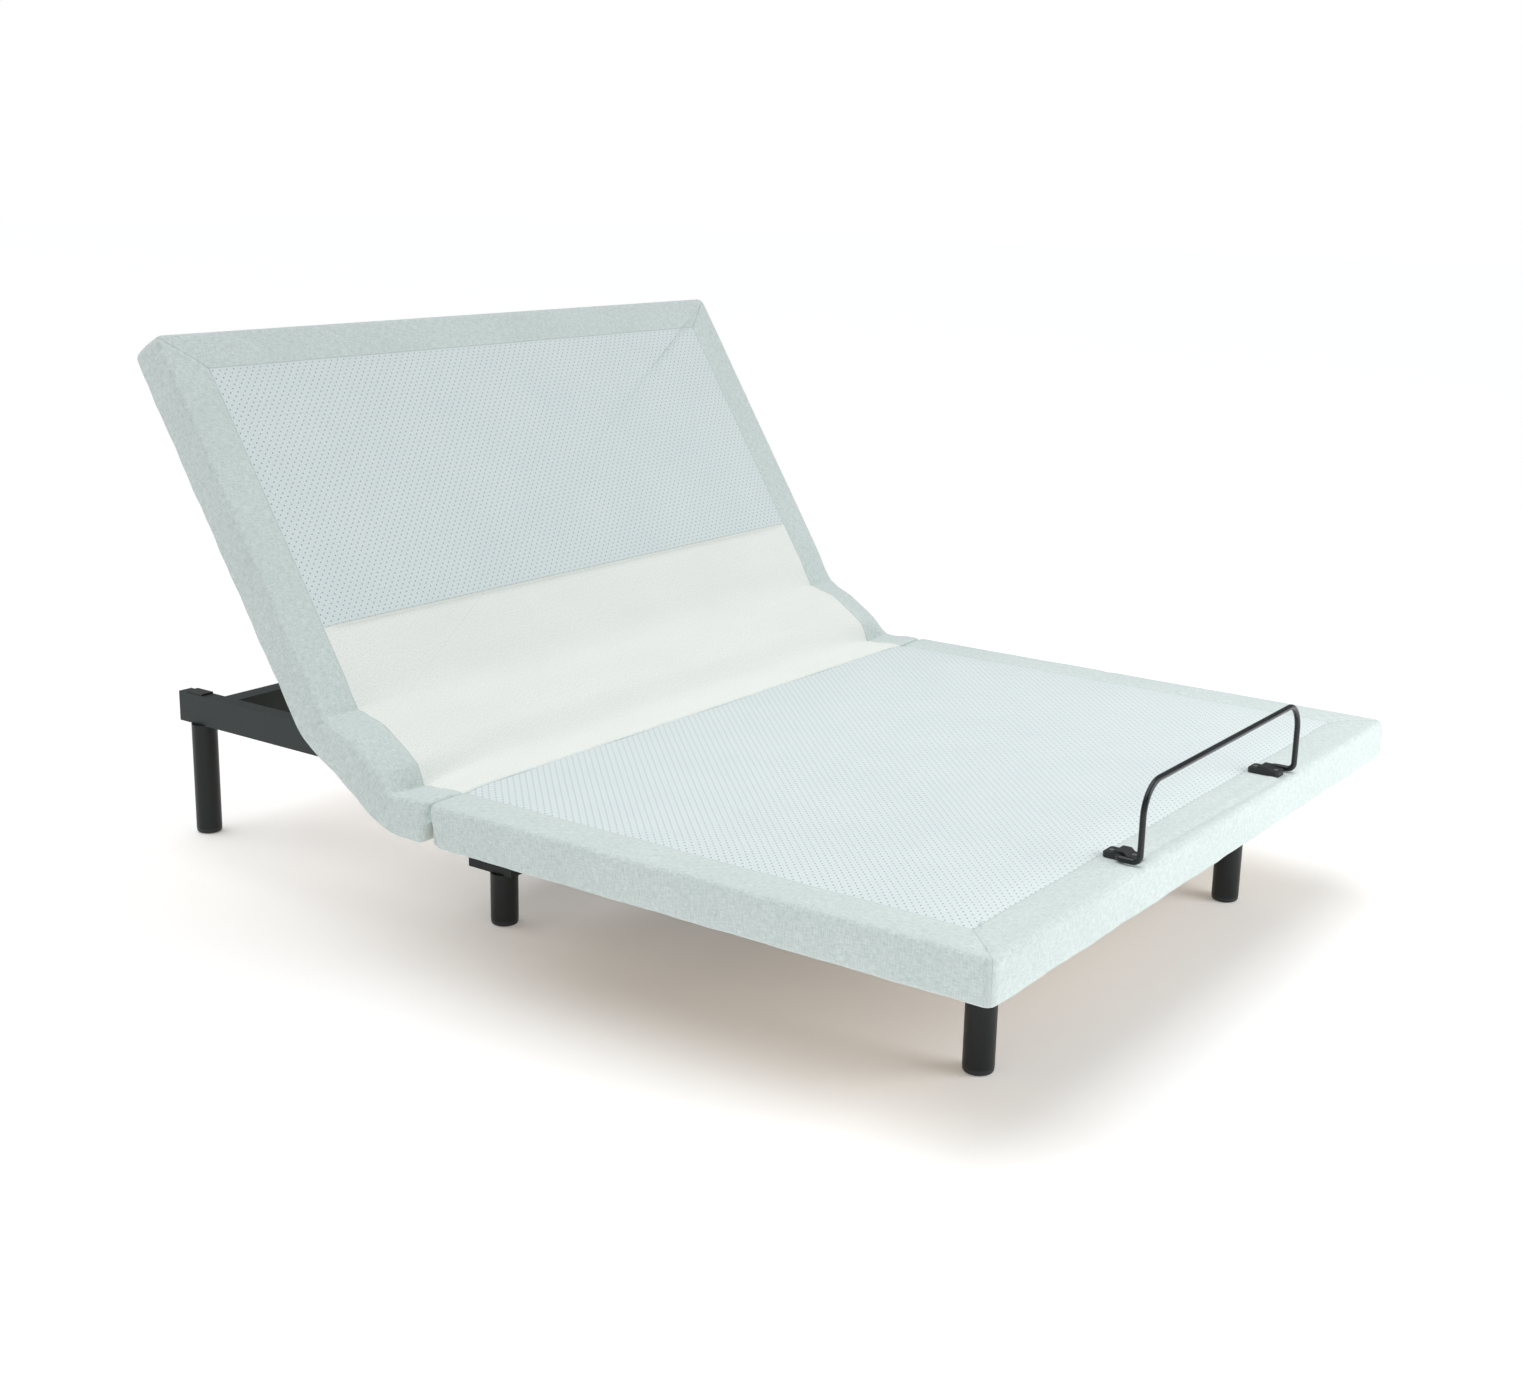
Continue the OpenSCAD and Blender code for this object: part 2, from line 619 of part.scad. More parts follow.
// ---------- foot struts ----------
module at_strut() placed() translate([0, strut_y, strut_z]) children();
module strut_pivots() zinc() at_strut() both_sides() {
    rod_x(8, arm_x - 4, inner_x);
    rod_x(11, arm_x - 4, arm_x - 1);
    rod_x(11, arm_x + arm_t + 1, inner_x);
}
module foot_struts() black_paint() at_strut() both_sides() rotate([strut_angle, 0, 0]) {
    difference() {
        union() {
            rod_x(16, arm_x, arm_x + arm_t);
            translate([arm_x, 0, -11]) cube([arm_t, strut_len, 22]);
            translate([0, strut_len, 0]) rod_x(11, arm_x, arm_x + arm_t);
        }
        rod_x(8 + run_fit, arm_x - 1, arm_x + arm_t + 1);
    }
    // slide shoe that bears on the foot section's support tube
    translate([0, strut_len, 0]) rod_x(strut_r, support_x - 12, arm_x);
}

// ---------- mattress retainer ----------
bracket_x = retainer_x - 26;             // middle of each bracket
bracket_w = 30;
bracket_len = 56;
bracket_base = 10;
pivot_up = 8;                            // rod axis above the platform
bridge_top = 15.2;                       // top of the hump over the rod
screw_reach = 19;                        // screws either side of the bridge
hook_in = 22;                            // length of rod hooked under the bridge
upright_y = 6;
small_bend = 12;
module at_retainer() placed() translate([0, retainer_y, platform_h]) children();

// Side view of a bracket: a chamfered block with a hump over the rod's end
module bracket_side() {
    h = bracket_len / 2;
    polygon([[-h, 0], [h, 0], [h, bracket_base - 1.5], [h - 1.5, bracket_base], [13, bracket_base], [7, bridge_top],
             [-7, bridge_top], [-13, bracket_base], [-h + 1.5, bracket_base], [-h, bracket_base - 1.5]]);
}

// Outline of a bracket from above, with its corners cut
module bracket_plan() {
    w = bracket_w / 2;
    h = bracket_len / 2;
    polygon([[-w + 4, -h], [w - 4, -h], [w, -h + 4], [w, h - 4], [w - 4, h], [-w + 4, h], [-w, h - 4],
             [-w, -h + 4]]);
}

module retainer_brackets() black_plastic() at_retainer() both_sides() difference() {
    intersection() {
        translate([bracket_x - bracket_w / 2, 0, 0]) rotate([90, 0, 90]) linear_extrude(bracket_w) bracket_side();
        translate([bracket_x, 0, -1]) linear_extrude(bridge_top + 2) bracket_plan();
    }
    translate([0, 0, pivot_up]) rod_x(rod_r + run_fit, bracket_x - 10, bracket_x + bracket_w);
    translate([0, 0, -20]) block(-half_w, half_w, -30, 30, 0, 20);
    for (y = [-screw_reach, screw_reach]) translate([bracket_x, y, -1]) {
        cylinder(r = 2.3, h = 10);
        translate([0, 0, bracket_base - 1.5]) cylinder(r1 = 2.3, r2 = 4.8, h = 2.5);
    }
}
module retainer_screws() zinc() at_retainer() both_sides() for (y = [-screw_reach, screw_reach])
    translate([bracket_x, y, 0]) {
        translate([0, 0, -foam_t - board_t + 3]) cylinder(r = 2, h = foam_t + board_t + bracket_base - 4.5);
        translate([0, 0, bracket_base - 2]) cylinder(r1 = 2, r2 = 4.2, h = 2);
    }
module retainer_holes() at_retainer() both_sides() for (y = [-screw_reach, screw_reach])
    translate([bracket_x, y, -foam_t - board_t - 1]) cylinder(r = 2.2, h = foam_t + board_t + 2);

// Quarter bend of the rod in the XY plane, from +X round to +Y about the origin
module bend(r) rotate_extrude(angle = 90) translate([r, 0, 0]) circle(r = rod_r);

module retainer_bar() black_paint() at_retainer() translate([0, 0, pivot_up]) {
    run = retainer_y - upright_y;        // from the pivot line to the uprights
    top = retainer_h - pivot_up;
    both_sides() {
        rod_x(rod_r, retainer_x - hook_in - small_bend, retainer_x - small_bend);
        translate([retainer_x - small_bend, -small_bend, 0]) bend(small_bend);
        translate([retainer_x, 0, 0]) rod_y(rod_r, -run + small_bend, -small_bend);
        translate([retainer_x, -run + small_bend, small_bend]) rotate([0, -90, 0]) rotate([0, 0, 180])
            bend(small_bend);
        translate([retainer_x, -run, small_bend]) cylinder(r = rod_r, h = top - small_bend - retainer_bend);
        translate([retainer_x - retainer_bend, -run, top - retainer_bend]) rotate([90, 0, 0]) bend(retainer_bend);
    }
    translate([0, -run, top]) rod_x(rod_r, -retainer_x + retainer_bend, retainer_x - retainer_bend);
}

head_rail_left();
head_rail_right();
foot_rail_left();
foot_rail_right();
head_cross_tube();
foot_cross_tube();
anchor_tubes();
splice_hanger_left();
splice_hanger_right();
splice_bolts();
rail_end_caps();
rest_pads();
head_legs();
mid_legs();
foot_legs();
leg_glides();
leg_studs();
tube_bearings();
actuator_anchors();
head_actuator_motor();
head_actuator_tube();
leg_actuator_motor();
leg_actuator_tube();
control_box();
power_inlet();
strut_pivots();
seat_board();
seat_pad();
seat_hinges();
lumbar_board();
lumbar_pad();
lumbar_hinges();
back_board();
back_pad();
back_apron();
back_frame();
back_hinges();
head_torque_tube();
head_lift_arms();
head_lever();
head_rollers();
head_rod();
thigh_board();
thigh_pad();
thigh_apron();
thigh_frame();
thigh_hinges();
foot_board();
foot_pad();
foot_apron();
foot_frame();
leg_torque_tube();
leg_lift_arms();
leg_lever();
leg_rollers();
leg_rod();
foot_struts();
retainer_brackets();
retainer_screws();
retainer_bar();
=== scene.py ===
import json
import math

import bpy
import numpy as np
from mathutils import Matrix, Vector
from mathutils.geometry import tessellate_polygon


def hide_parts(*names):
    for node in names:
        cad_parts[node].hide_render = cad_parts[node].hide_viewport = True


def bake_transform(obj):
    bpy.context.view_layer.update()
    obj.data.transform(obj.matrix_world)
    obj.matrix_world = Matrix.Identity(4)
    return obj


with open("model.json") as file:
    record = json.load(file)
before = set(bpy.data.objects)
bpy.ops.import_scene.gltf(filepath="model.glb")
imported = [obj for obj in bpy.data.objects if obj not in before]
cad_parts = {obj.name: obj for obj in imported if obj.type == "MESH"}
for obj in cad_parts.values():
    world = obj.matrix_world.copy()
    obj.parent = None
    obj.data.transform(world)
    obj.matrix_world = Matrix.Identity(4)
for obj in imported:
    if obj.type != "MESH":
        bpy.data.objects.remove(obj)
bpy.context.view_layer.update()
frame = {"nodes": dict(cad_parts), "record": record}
scene = bpy.context.scene

MM = 0.001

# ---------------------------------------------------------------- sizes, in millimetres, as in the CAD model
Y_MID = 1000.0          # the row frame's origin, measured from the foot end of the platform
AXIS_Z = 304.0          # height of the hinge plane
HALF = 762.0            # half the platform's width
FOAM = 14.0             # foam over the boards
LOW = 56.0              # side band below the hinge plane
KNEE_Y, HIP_Y, WAIST_Y = 580.0, 1034.0, 1124.0
SEAT, LUMBAR, BACK = 90.0, 190.0, 718.0
LUMBAR_TILT, BACK_TILT = math.radians(32.9), math.radians(57.7)
HEAD_LEN = SEAT + LUMBAR + BACK
LEG_LEN = HIP_Y
WAIST_S, FOLD_S = SEAT, SEAT + LUMBAR
CUT_S = SEAT + LUMBAR / 2          # where the head half's cover is divided between two blends
BORDER_SIDE, BORDER_HEAD, BORDER_FOOT = 82.0, 70.0, 79.0
DOTS_FROM = 155.0                  # from the back hinge to the dotted cloth
SEAM_X = HALF - BORDER_SIDE
INSET = 16.0                       # the top grid stops this far inside the outline
BASE_X = HALF - INSET
CLAMP_X, CLAMP_Y = 282.0, 46.0     # middle of each retainer bracket
CLAMP_HALF_X, CLAMP_HALF_Y = 30.0, 42.0   # how far a bracket presses the cloth down, either way
RING_APRON, RING_BAND = 750.0, 725.0      # inside of the side band, at the aprons and at the thick band
SEAM_WIDTH, SEAM_SHADE = 0.0018, 0.36     # a seam's painted shade line, in metres, and its strength
PAST_SLOPE = 50.0                         # slope that takes a seam's distance out of reach past its end

CROWN_HEAD, CROWN_LEG, CROWN_BORDER = 5.0, 4.2, 2.6   # how far the stuffed fields stand up
CUSHION = 18.0                            # height of the lumbar cushion
CREASE_WAIST, CREASE_FOLD = 7.0, 6.0      # depth of the creases on either side of it
MITRE_DIP, MITRE_WIDTH = 1.8, 3.2
RIPPLE = 0.7
HEM_H, LEDGE_H = -56.1, -15.2             # heights of the hem and of the boards' underside

# ---------------------------------------------------------------- cloth simulation
CLOTH_FRAMES = 10
CLOTH_MASS, CLOTH_PRESSURE = 0.03, 0.6
CLOTH_STRETCH, CLOTH_SHEAR, CLOTH_BEND = 20.0, 4.0, 0.25
CLOTH_SPARE = 0.03                        # share of spare cloth at the bends
MOST_MOVE = 5.0                           # no point moves further than this, in millimetres
FIELD_SHARE = 0.12                        # share of that movement left in the middle of the deck


def smooth(a, b, x):
    t = np.clip((np.asarray(x, float) - a) / (b - a), 0, 1)
    return t * t * (3 - 2 * t)


# ---------------------------------------------------------------- node helpers
class Nodes:
    """Short calls for building one material's node tree."""

    def __init__(self, name):
        self.mat = bpy.data.materials.new(name)
        self.mat.use_nodes = True
        self.tree = self.mat.node_tree
        self.tree.nodes.clear()
        self.out = self.tree.nodes.new("ShaderNodeOutputMaterial")
        self.shader = self.tree.nodes.new("ShaderNodeBsdfPrincipled")
        self.link(self.shader.outputs[0], self.out.inputs[0])

    def link(self, a, b):
        self.tree.links.new(a, b)

    def put(self, socket, value):
        if isinstance(value, bpy.types.NodeSocket):
            self.link(value, socket)
        elif value is not None:
            socket.default_value = value

    def node(self, kind, inputs=(), **settings):
        n = self.tree.nodes.new(kind)
        for key, value in settings.items():
            setattr(n, key, value)
        for key, value in dict(inputs).items():
            self.put(n.inputs[key], value)
        return n

    def math(self, op, a, b=0.0):
        n = self.tree.nodes.new("ShaderNodeMath")
        n.operation = op
        for socket, value in zip(n.inputs, (a, b)):
            self.put(socket, value)
        return n.outputs[0]

    def ramp(self, value, low, high, to_low=0.0, to_high=1.0):
        n = self.node("ShaderNodeMapRange", {0: value, 1: low, 2: high, 3: to_low, 4: to_high})
        n.interpolation_type = "SMOOTHSTEP"
        return n.outputs[0]

    def mix(self, factor, a, b):
        n = self.tree.nodes.new("ShaderNodeMix")
        n.data_type = "RGBA"
        self.put(n.inputs[0], factor)
        self.put(n.inputs[6], a)
        self.put(n.inputs[7], b)
        return n.outputs[2]

    def scaled(self, vector, scale):
        n = self.node("ShaderNodeMapping", {0: vector, 3: scale})
        return n.outputs[0]

    def noise(self, vector, scale, detail=3.0, rough=0.5, stretch=None):
        if stretch is not None:
            vector = self.scaled(vector, stretch)
        n = self.node("ShaderNodeTexNoise", {"Vector": vector, "Scale": scale, "Detail": detail,
                                             "Roughness": rough})
        return n.outputs[0]

    def split(self, vector):
        return self.node("ShaderNodeSeparateXYZ", {0: vector}).outputs

    def bump(self, height, strength, distance, normal=None):
        n = self.node("ShaderNodeBump", {"Height": height})
        n.inputs["Strength"].default_value = strength
        n.inputs["Distance"].default_value = distance
        if normal is not None:
            self.link(normal, n.inputs["Normal"])
        return n.outputs[0]

    def finish(self, color, rough, normal=None, **fixed):
        self.put(self.shader.inputs["Base Color"], color)
        self.put(self.shader.inputs["Roughness"], rough)
        if normal is not None:
            self.link(normal, self.shader.inputs["Normal"])
        for key, value in fixed.items():
            self.shader.inputs[key.replace("_", " ")].default_value = value
        return self.mat


def rgb(r, g, b):
    """An sRGB colour, 0 to 255, as linear RGBA."""
    def lin(c):
        c = c / 255
        return c / 12.92 if c <= 0.04045 else ((c + 0.055) / 1.055) ** 2.4
    return (lin(r), lin(g), lin(b), 1.0)


# ---------------------------------------------------------------- cloth materials
def flat_coords(m):
    """The cloth's own flat coordinates, in metres: across the bed, then along it."""
    return m.node("ShaderNodeAttribute", attribute_name="flat").outputs["Vector"]


def seam_shade(m, flat, end_seam, length, across_seam=None, mitred=True):
    """Distance in metres to the nearest seam, from the flat coordinates, for the painted shade along each
    seam.

    The border meets the field along its inner edge, and itself along a mitre that runs down each corner."""
    x, s, _ = m.split(flat)
    ax = m.math("SUBTRACT", m.math("ABSOLUTE", x), SEAM_X * MM)
    bs = m.math("SUBTRACT", s, end_seam * MM)
    past_end = m.math("MAXIMUM", bs, 0.0)
    past_side = m.math("MAXIMUM", ax, 0.0)
    side = m.math("ADD", m.math("ABSOLUTE", ax), m.math("MULTIPLY", past_end, PAST_SLOPE))
    end = m.math("ADD", m.math("ABSOLUTE", bs), m.math("MULTIPLY", past_side, PAST_SLOPE))
    best = m.math("MINIMUM", side, end)
    if across_seam is not None:
        line = m.math("ABSOLUTE", m.math("SUBTRACT", s, across_seam * MM))
        best = m.math("MINIMUM", best, m.math("ADD", line, m.math("MULTIPLY", past_side, PAST_SLOPE)))
    if mitred:
        run_x, run_s = (BASE_X - SEAM_X) * MM, (length - INSET - end_seam) * MM
        size = math.hypot(run_x, run_s)
        mitre = m.math("ABSOLUTE", m.math("SUBTRACT", m.math("MULTIPLY", ax, run_s / size),
                                          m.math("MULTIPLY", bs, run_x / size)))
        outside = m.math("ADD", m.math("LESS_THAN", ax, 0.0), m.math("LESS_THAN", bs, 0.0))
        corner = m.math("ABSOLUTE", m.math("MULTIPLY", m.math("SUBTRACT", m.math("SUBTRACT", ax, run_x),
                                                              m.math("SUBTRACT", bs, run_s)), 0.7071))
        beyond = m.math("GREATER_THAN", ax, run_x)
        line = m.math("ADD", m.math("MULTIPLY", mitre, m.math("SUBTRACT", 1.0, beyond)),
                      m.math("MULTIPLY", corner, beyond))
        best = m.math("MINIMUM", best, m.math("ADD", line, outside))
    return best


def linen(name, *seams):
    """Heathered grey-green linen-look upholstery cloth."""
    m = Nodes(name)
    flat = flat_coords(m)
    across = m.noise(flat, 1.0, 4.0, 0.62, (70, 620, 1))
    along = m.noise(flat, 1.0, 4.0, 0.62, (620, 70, 1))
    blotch = m.noise(flat, 1.0, 3.0, 0.6, (95, 120, 1))
    cloud = m.noise(flat, 1.0, 2.0, 0.5, (5, 6, 1))
    heather = m.math("ADD", m.math("MULTIPLY", across, 0.5), m.math("MULTIPLY", along, 0.5))
    mixed = m.math("ADD", m.math("MULTIPLY", heather, 0.86), m.math("MULTIPLY", blotch, 0.14))
    color = m.mix(m.ramp(mixed, 0.38, 0.62), rgb(192, 205, 202), rgb(221, 231, 229))
    fleck = m.noise(flat, 1.0, 2.0, 0.5, (210, 520, 1))
    color = m.mix(m.ramp(fleck, 0.64, 0.74, 0.0, 0.6), color, rgb(240, 243, 241))
    dark = m.noise(flat, 1.0, 2.0, 0.5, (480, 230, 1))
    color = m.mix(m.ramp(dark, 0.66, 0.78, 0.0, 0.45), color, rgb(132, 148, 144))
    color = m.mix(m.ramp(cloud, 0.35, 0.65, 0.0, 0.10), color, rgb(176, 190, 188))
    # yarns of the plain weave, about 0.9 mm apart
    x, s, _ = m.split(flat)
    wx = m.math("SINE", m.math("MULTIPLY", x, 2 * math.pi / 0.0018))
    ws = m.math("SINE", m.math("MULTIPLY", s, 2 * math.pi / 0.0018))
    weave = m.math("MULTIPLY", wx, ws)
    height = m.math("ADD", m.math("MULTIPLY", weave, 0.25), heather)
    near = seam_shade(m, flat, *seams)
    # painted shade: the linen is darkened along each seam
    color = m.mix(m.ramp(near, 0.0, SEAM_WIDTH, SEAM_SHADE, 0.0), color, rgb(128, 142, 140))
    normal = m.bump(height, 0.35, 0.0006)
    normal = m.bump(blotch, 0.12, 0.002, normal)
    rough = m.ramp(mixed, 0.3, 0.7, 0.96, 0.82)
    return m.finish(color, rough, normal, Sheen_Weight=0.25, Sheen_Roughness=0.5, Specular_IOR_Level=0.25)


def dotted(name, *seams):
    """Pale knitted topper cloth with rows of small grip dots."""
    m = Nodes(name)
    flat = flat_coords(m)
    x, s, _ = m.split(flat)
    pitch = 0.015
    a = m.math("DIVIDE", m.math("ADD", x, s), pitch)
    b = m.math("DIVIDE", m.math("SUBTRACT", x, s), pitch)
    da = m.math("SUBTRACT", m.math("FRACT", a), 0.5)
    db = m.math("SUBTRACT", m.math("FRACT", b), 0.5)
    # distance to the dot in metres: the lattice axes are turned by 45 degrees
    dist = m.math("MULTIPLY", m.math("SQRT", m.math("ADD", m.math("MULTIPLY", da, da),
                                                     m.math("MULTIPLY", db, db))), pitch / math.sqrt(2))
    dot = m.ramp(dist, 0.0011, 0.0016, 1.0, 0.0)
    loops = m.math("MULTIPLY", m.math("SINE", m.math("MULTIPLY", x, 2 * math.pi / 0.0016)),
                   m.math("SINE", m.math("MULTIPLY", s, 2 * math.pi / 0.0024)))
    fuzz = m.noise(flat, 1.0, 3.0, 0.6, (420, 420, 1))
    cloud = m.noise(flat, 1.0, 3.0, 0.5, (7, 7, 1))
    color = m.mix(m.ramp(fuzz, 0.35, 0.65), rgb(210, 221, 221), rgb(227, 235, 235))
    color = m.mix(m.ramp(cloud, 0.3, 0.7, 0.0, 0.18), color, rgb(206, 216, 220))
    color = m.mix(m.math("MULTIPLY", dot, 0.92), color, rgb(128, 142, 156))
    near = seam_shade(m, flat, *seams)
    # painted shade: the dotted cloth is darkened along each seam
    color = m.mix(m.ramp(near, 0.0, SEAM_WIDTH, SEAM_SHADE, 0.0), color, rgb(140, 152, 154))
    height = m.math("ADD", m.math("MULTIPLY", loops, 0.3), m.math("MULTIPLY", fuzz, 0.5))
    normal = m.bump(height, 0.3, 0.0005)
    normal = m.bump(dot, 0.5, 0.0006, normal)
    rough = m.math("SUBTRACT", 0.93, m.math("MULTIPLY", dot, 0.42))
    return m.finish(color, rough, normal, Sheen_Weight=0.15, Sheen_Roughness=0.5, Specular_IOR_Level=0.3)


def ivory(name, *seams):
    """Plain ivory stretch cloth over the lumbar bend."""
    m = Nodes(name)
    flat = flat_coords(m)
    x, s, _ = m.split(flat)
    nap = m.noise(flat, 1.0, 4.0, 0.6, (300, 300, 1))
    rib = m.math("SINE", m.math("MULTIPLY", s, 2 * math.pi / 0.0014))
    cross = m.math("SINE", m.math("MULTIPLY", x, 2 * math.pi / 0.0012))
    cloud = m.noise(flat, 1.0, 3.0, 0.5, (4, 9, 1))
    color = m.mix(m.ramp(nap, 0.35, 0.65), rgb(231, 235, 230), rgb(243, 247, 243))
    color = m.mix(m.ramp(cloud, 0.35, 0.7, 0.0, 0.16), color, rgb(224, 227, 221))
    near = seam_shade(m, flat, *seams)
    # painted shade: the ivory cloth is darkened along each seam
    color = m.mix(m.ramp(near, 0.0, 0.0022, 0.4, 0.0), color, rgb(176, 180, 172))
    height = m.math("ADD", m.math("MULTIPLY", m.math("MULTIPLY", rib, cross), 0.3), nap)
    normal = m.bump(height, 0.22, 0.0005)
    return m.finish(color, 0.9, normal, Sheen_Weight=0.2, Sheen_Roughness=0.45, Specular_IOR_Level=0.25)


# ---------------------------------------------------------------- hard materials
def object_coords(m):
    return m.node("ShaderNodeTexCoord").outputs["Object"]


def powder_coat(name, dark, light, rough, grain=1400.0, strength=0.12):
    m = Nodes(name)
    co = object_coords(m)
    orange_peel = m.noise(co, grain, 2.0, 0.6)
    broad = m.noise(co, 9.0, 4.0, 0.55)
    scuffs = m.noise(co, 1.0, 3.0, 0.6, (60, 60, 700))
    color = m.mix(m.ramp(broad, 0.3, 0.7), dark, light)
    worn = tuple(min(1.0, c * 2.2) for c in light[:3]) + (1.0,)
    color = m.mix(m.ramp(scuffs, 0.64, 0.8, 0.0, 0.18), color, worn)
    r = m.math("ADD", m.ramp(orange_peel, 0.3, 0.7, rough - 0.05, rough + 0.06),
               m.ramp(broad, 0.3, 0.7, -0.04, 0.05))
    normal = m.bump(orange_peel, strength, 0.0004)
    return m.finish(color, r, normal, Specular_IOR_Level=0.38)


def moulded(name, color_a, color_b, rough, grain=900.0):
    m = Nodes(name)
    co = object_coords(m)
    vor = m.node("ShaderNodeTexVoronoi", {"Vector": co, "Scale": grain}).outputs[0]
    broad = m.noise(co, 14.0, 3.0, 0.5)
    color = m.mix(m.ramp(broad, 0.3, 0.7), color_a, color_b)
    r = m.ramp(broad, 0.3, 0.7, rough - 0.05, rough + 0.07)
    return m.finish(color, r, m.bump(vor, 0.10, 0.0003))


def zinc_plate(name):
    m = Nodes(name)
    co = object_coords(m)
    spangle = m.node("ShaderNodeTexVoronoi", {"Vector": co, "Scale": 160.0}).outputs["Color"]
    tone = m.split(spangle)[0]
    streak = m.noise(co, 1.0, 4.0, 0.6, (900, 40, 900))
    haze = m.noise(co, 20.0, 4.0, 0.6)
    color = m.mix(m.ramp(tone, 0.0, 1.0), rgb(168, 171, 172), rgb(200, 202, 202))
    color = m.mix(m.ramp(haze, 0.45, 0.75, 0.0, 0.35), color, rgb(150, 150, 146))
    rough = m.math("ADD", m.ramp(tone, 0.0, 1.0, 0.26, 0.38), m.ramp(streak, 0.3, 0.7, -0.04, 0.08))
    return m.finish(color, rough, m.bump(streak, 0.08, 0.0003), Metallic=1.0)


def wood(name, early, late, ring=55.0):
    """Wood with its grain along the bed."""
    m = Nodes(name)
    co = object_coords(m)
    warp = m.noise(co, 3.0, 3.0, 0.55)
    sweep = m.noise(co, 1.0, 2.0, 0.5, (2.2, 0.9, 1.0))
    coord = m.math("ADD", m.math("MULTIPLY", sweep, ring), m.math("MULTIPLY", warp, 3.0))
    figure = m.math("ADD", m.math("MULTIPLY", m.math("SINE", coord), 0.5), 0.5)
    fibre = m.noise(co, 1.0, 4.0, 0.65, (900, 14, 900))
    pores = m.noise(co, 1.0, 2.0, 0.5, (1800, 60, 1800))
    color = m.mix(m.math("MULTIPLY", figure, 0.28), early, late)
    color = m.mix(m.ramp(fibre, 0.35, 0.7, 0.0, 0.4), color, late)
    color = m.mix(m.ramp(pores, 0.66, 0.78, 0.0, 0.55), color, tuple(c * 0.45 for c in late[:3]) + (1.0,))
    rough = m.ramp(fibre, 0.3, 0.7, 0.62, 0.8)
    return m.finish(color, rough, m.bump(fibre, 0.2, 0.0004))


SLATE = powder_coat("slate powder coat", rgb(32, 42, 42), rgb(40, 51, 51), 0.42)
BLACK = powder_coat("black powder coat", rgb(14, 20, 21), rgb(20, 27, 28), 0.40)
GLOSS_BLACK = powder_coat("black rod enamel", rgb(26, 29, 31), rgb(33, 37, 39), 0.26, 800.0, 0.05)
PLASTIC = moulded("black moulded plastic", rgb(30, 32, 34), rgb(40, 42, 44), 0.5)
NYLON = moulded("natural nylon", rgb(214, 211, 200), rgb(226, 224, 214), 0.42)
ZINC = zinc_plate("zinc plate")
PLYWOOD = wood("birch plywood", rgb(214, 186, 142), rgb(190, 156, 108))
TIMBER = wood("planed pine", rgb(226, 198, 152), rgb(196, 158, 104), 260.0)

BY_SLOT = {"slate_paint": SLATE, "black_paint": BLACK, "black_plastic": PLASTIC, "zinc": ZINC,
           "nylon": NYLON, "plywood": PLYWOOD, "timber": TIMBER, "upholstery": PLYWOOD}
for part in frame["record"]["subparts"]:
    node = frame["nodes"][part["node"]]
    mat = BY_SLOT[part["material_slot"]]
    if part["node"] == "retainer_bar":
        mat = GLOSS_BLACK
    node.data.materials.clear()
    node.data.materials.append(mat)


# ---------------------------------------------------------------- upholstery shape
def ticks(lines, step, fine):
    """Grid lines through the given lines, step apart, closing up to fine beside each of them."""
    out = set()
    for a, b in zip(lines[:-1], lines[1:]):
        span = b - a
        side = [fine, fine * 2.4, fine * 4.4]
        if span < 8 * fine:
            side = [span / 4]
        inner_a, inner_b = a + side[-1], b - side[-1]
        n = max(1, round((inner_b - inner_a) / step))
        out |= {round(v, 3) for v in [a, b] + [a + d for d in side] + [b - d for d in side]}
        out |= {round(inner_a + (inner_b - inner_a) * i / n, 3) for i in range(n + 1)}
    return sorted(out)


# Profile round the edge: distance out from the top grid's edge, height, and arc length, in millimetres
def edge_profile():
    r_top, r_low = 7.5, 6.0
    pts = [(4.0, FOAM)]
    pts += [(INSET - r_top + r_top * math.cos(math.radians(f)),
             FOAM - r_top + r_top * math.sin(math.radians(f))) for f in (80, 62, 44, 28, 13, 0)]
    pts += [(INSET + 1.6 * math.sin(math.pi * k / 6), 6.0 - LOW * k / 6) for k in range(1, 6)]
    pts += [(10 + r_low * math.cos(math.radians(f)), -51 + r_low * math.sin(math.radians(f)))
            for f in (0, -22, -45, -67, -90)]
    pts += [(0, -57.2), (-7, -57.2), (-12.5, -57.2), (-15, -56.9)]
    arc, total, last = [], 0.0, (0.0, r_top)
    for p in pts:
        total += math.dist(p, last)
        arc.append(total)
        last = p
    return pts, arc


PROFILE, ARC = edge_profile()


def loop_normal(points):
    """Area-weighted normal of a flat loop of points."""
    return sum((a.cross(b) for a, b in zip(points, points[1:] + points[:1])), Vector((0, 0, 0)))


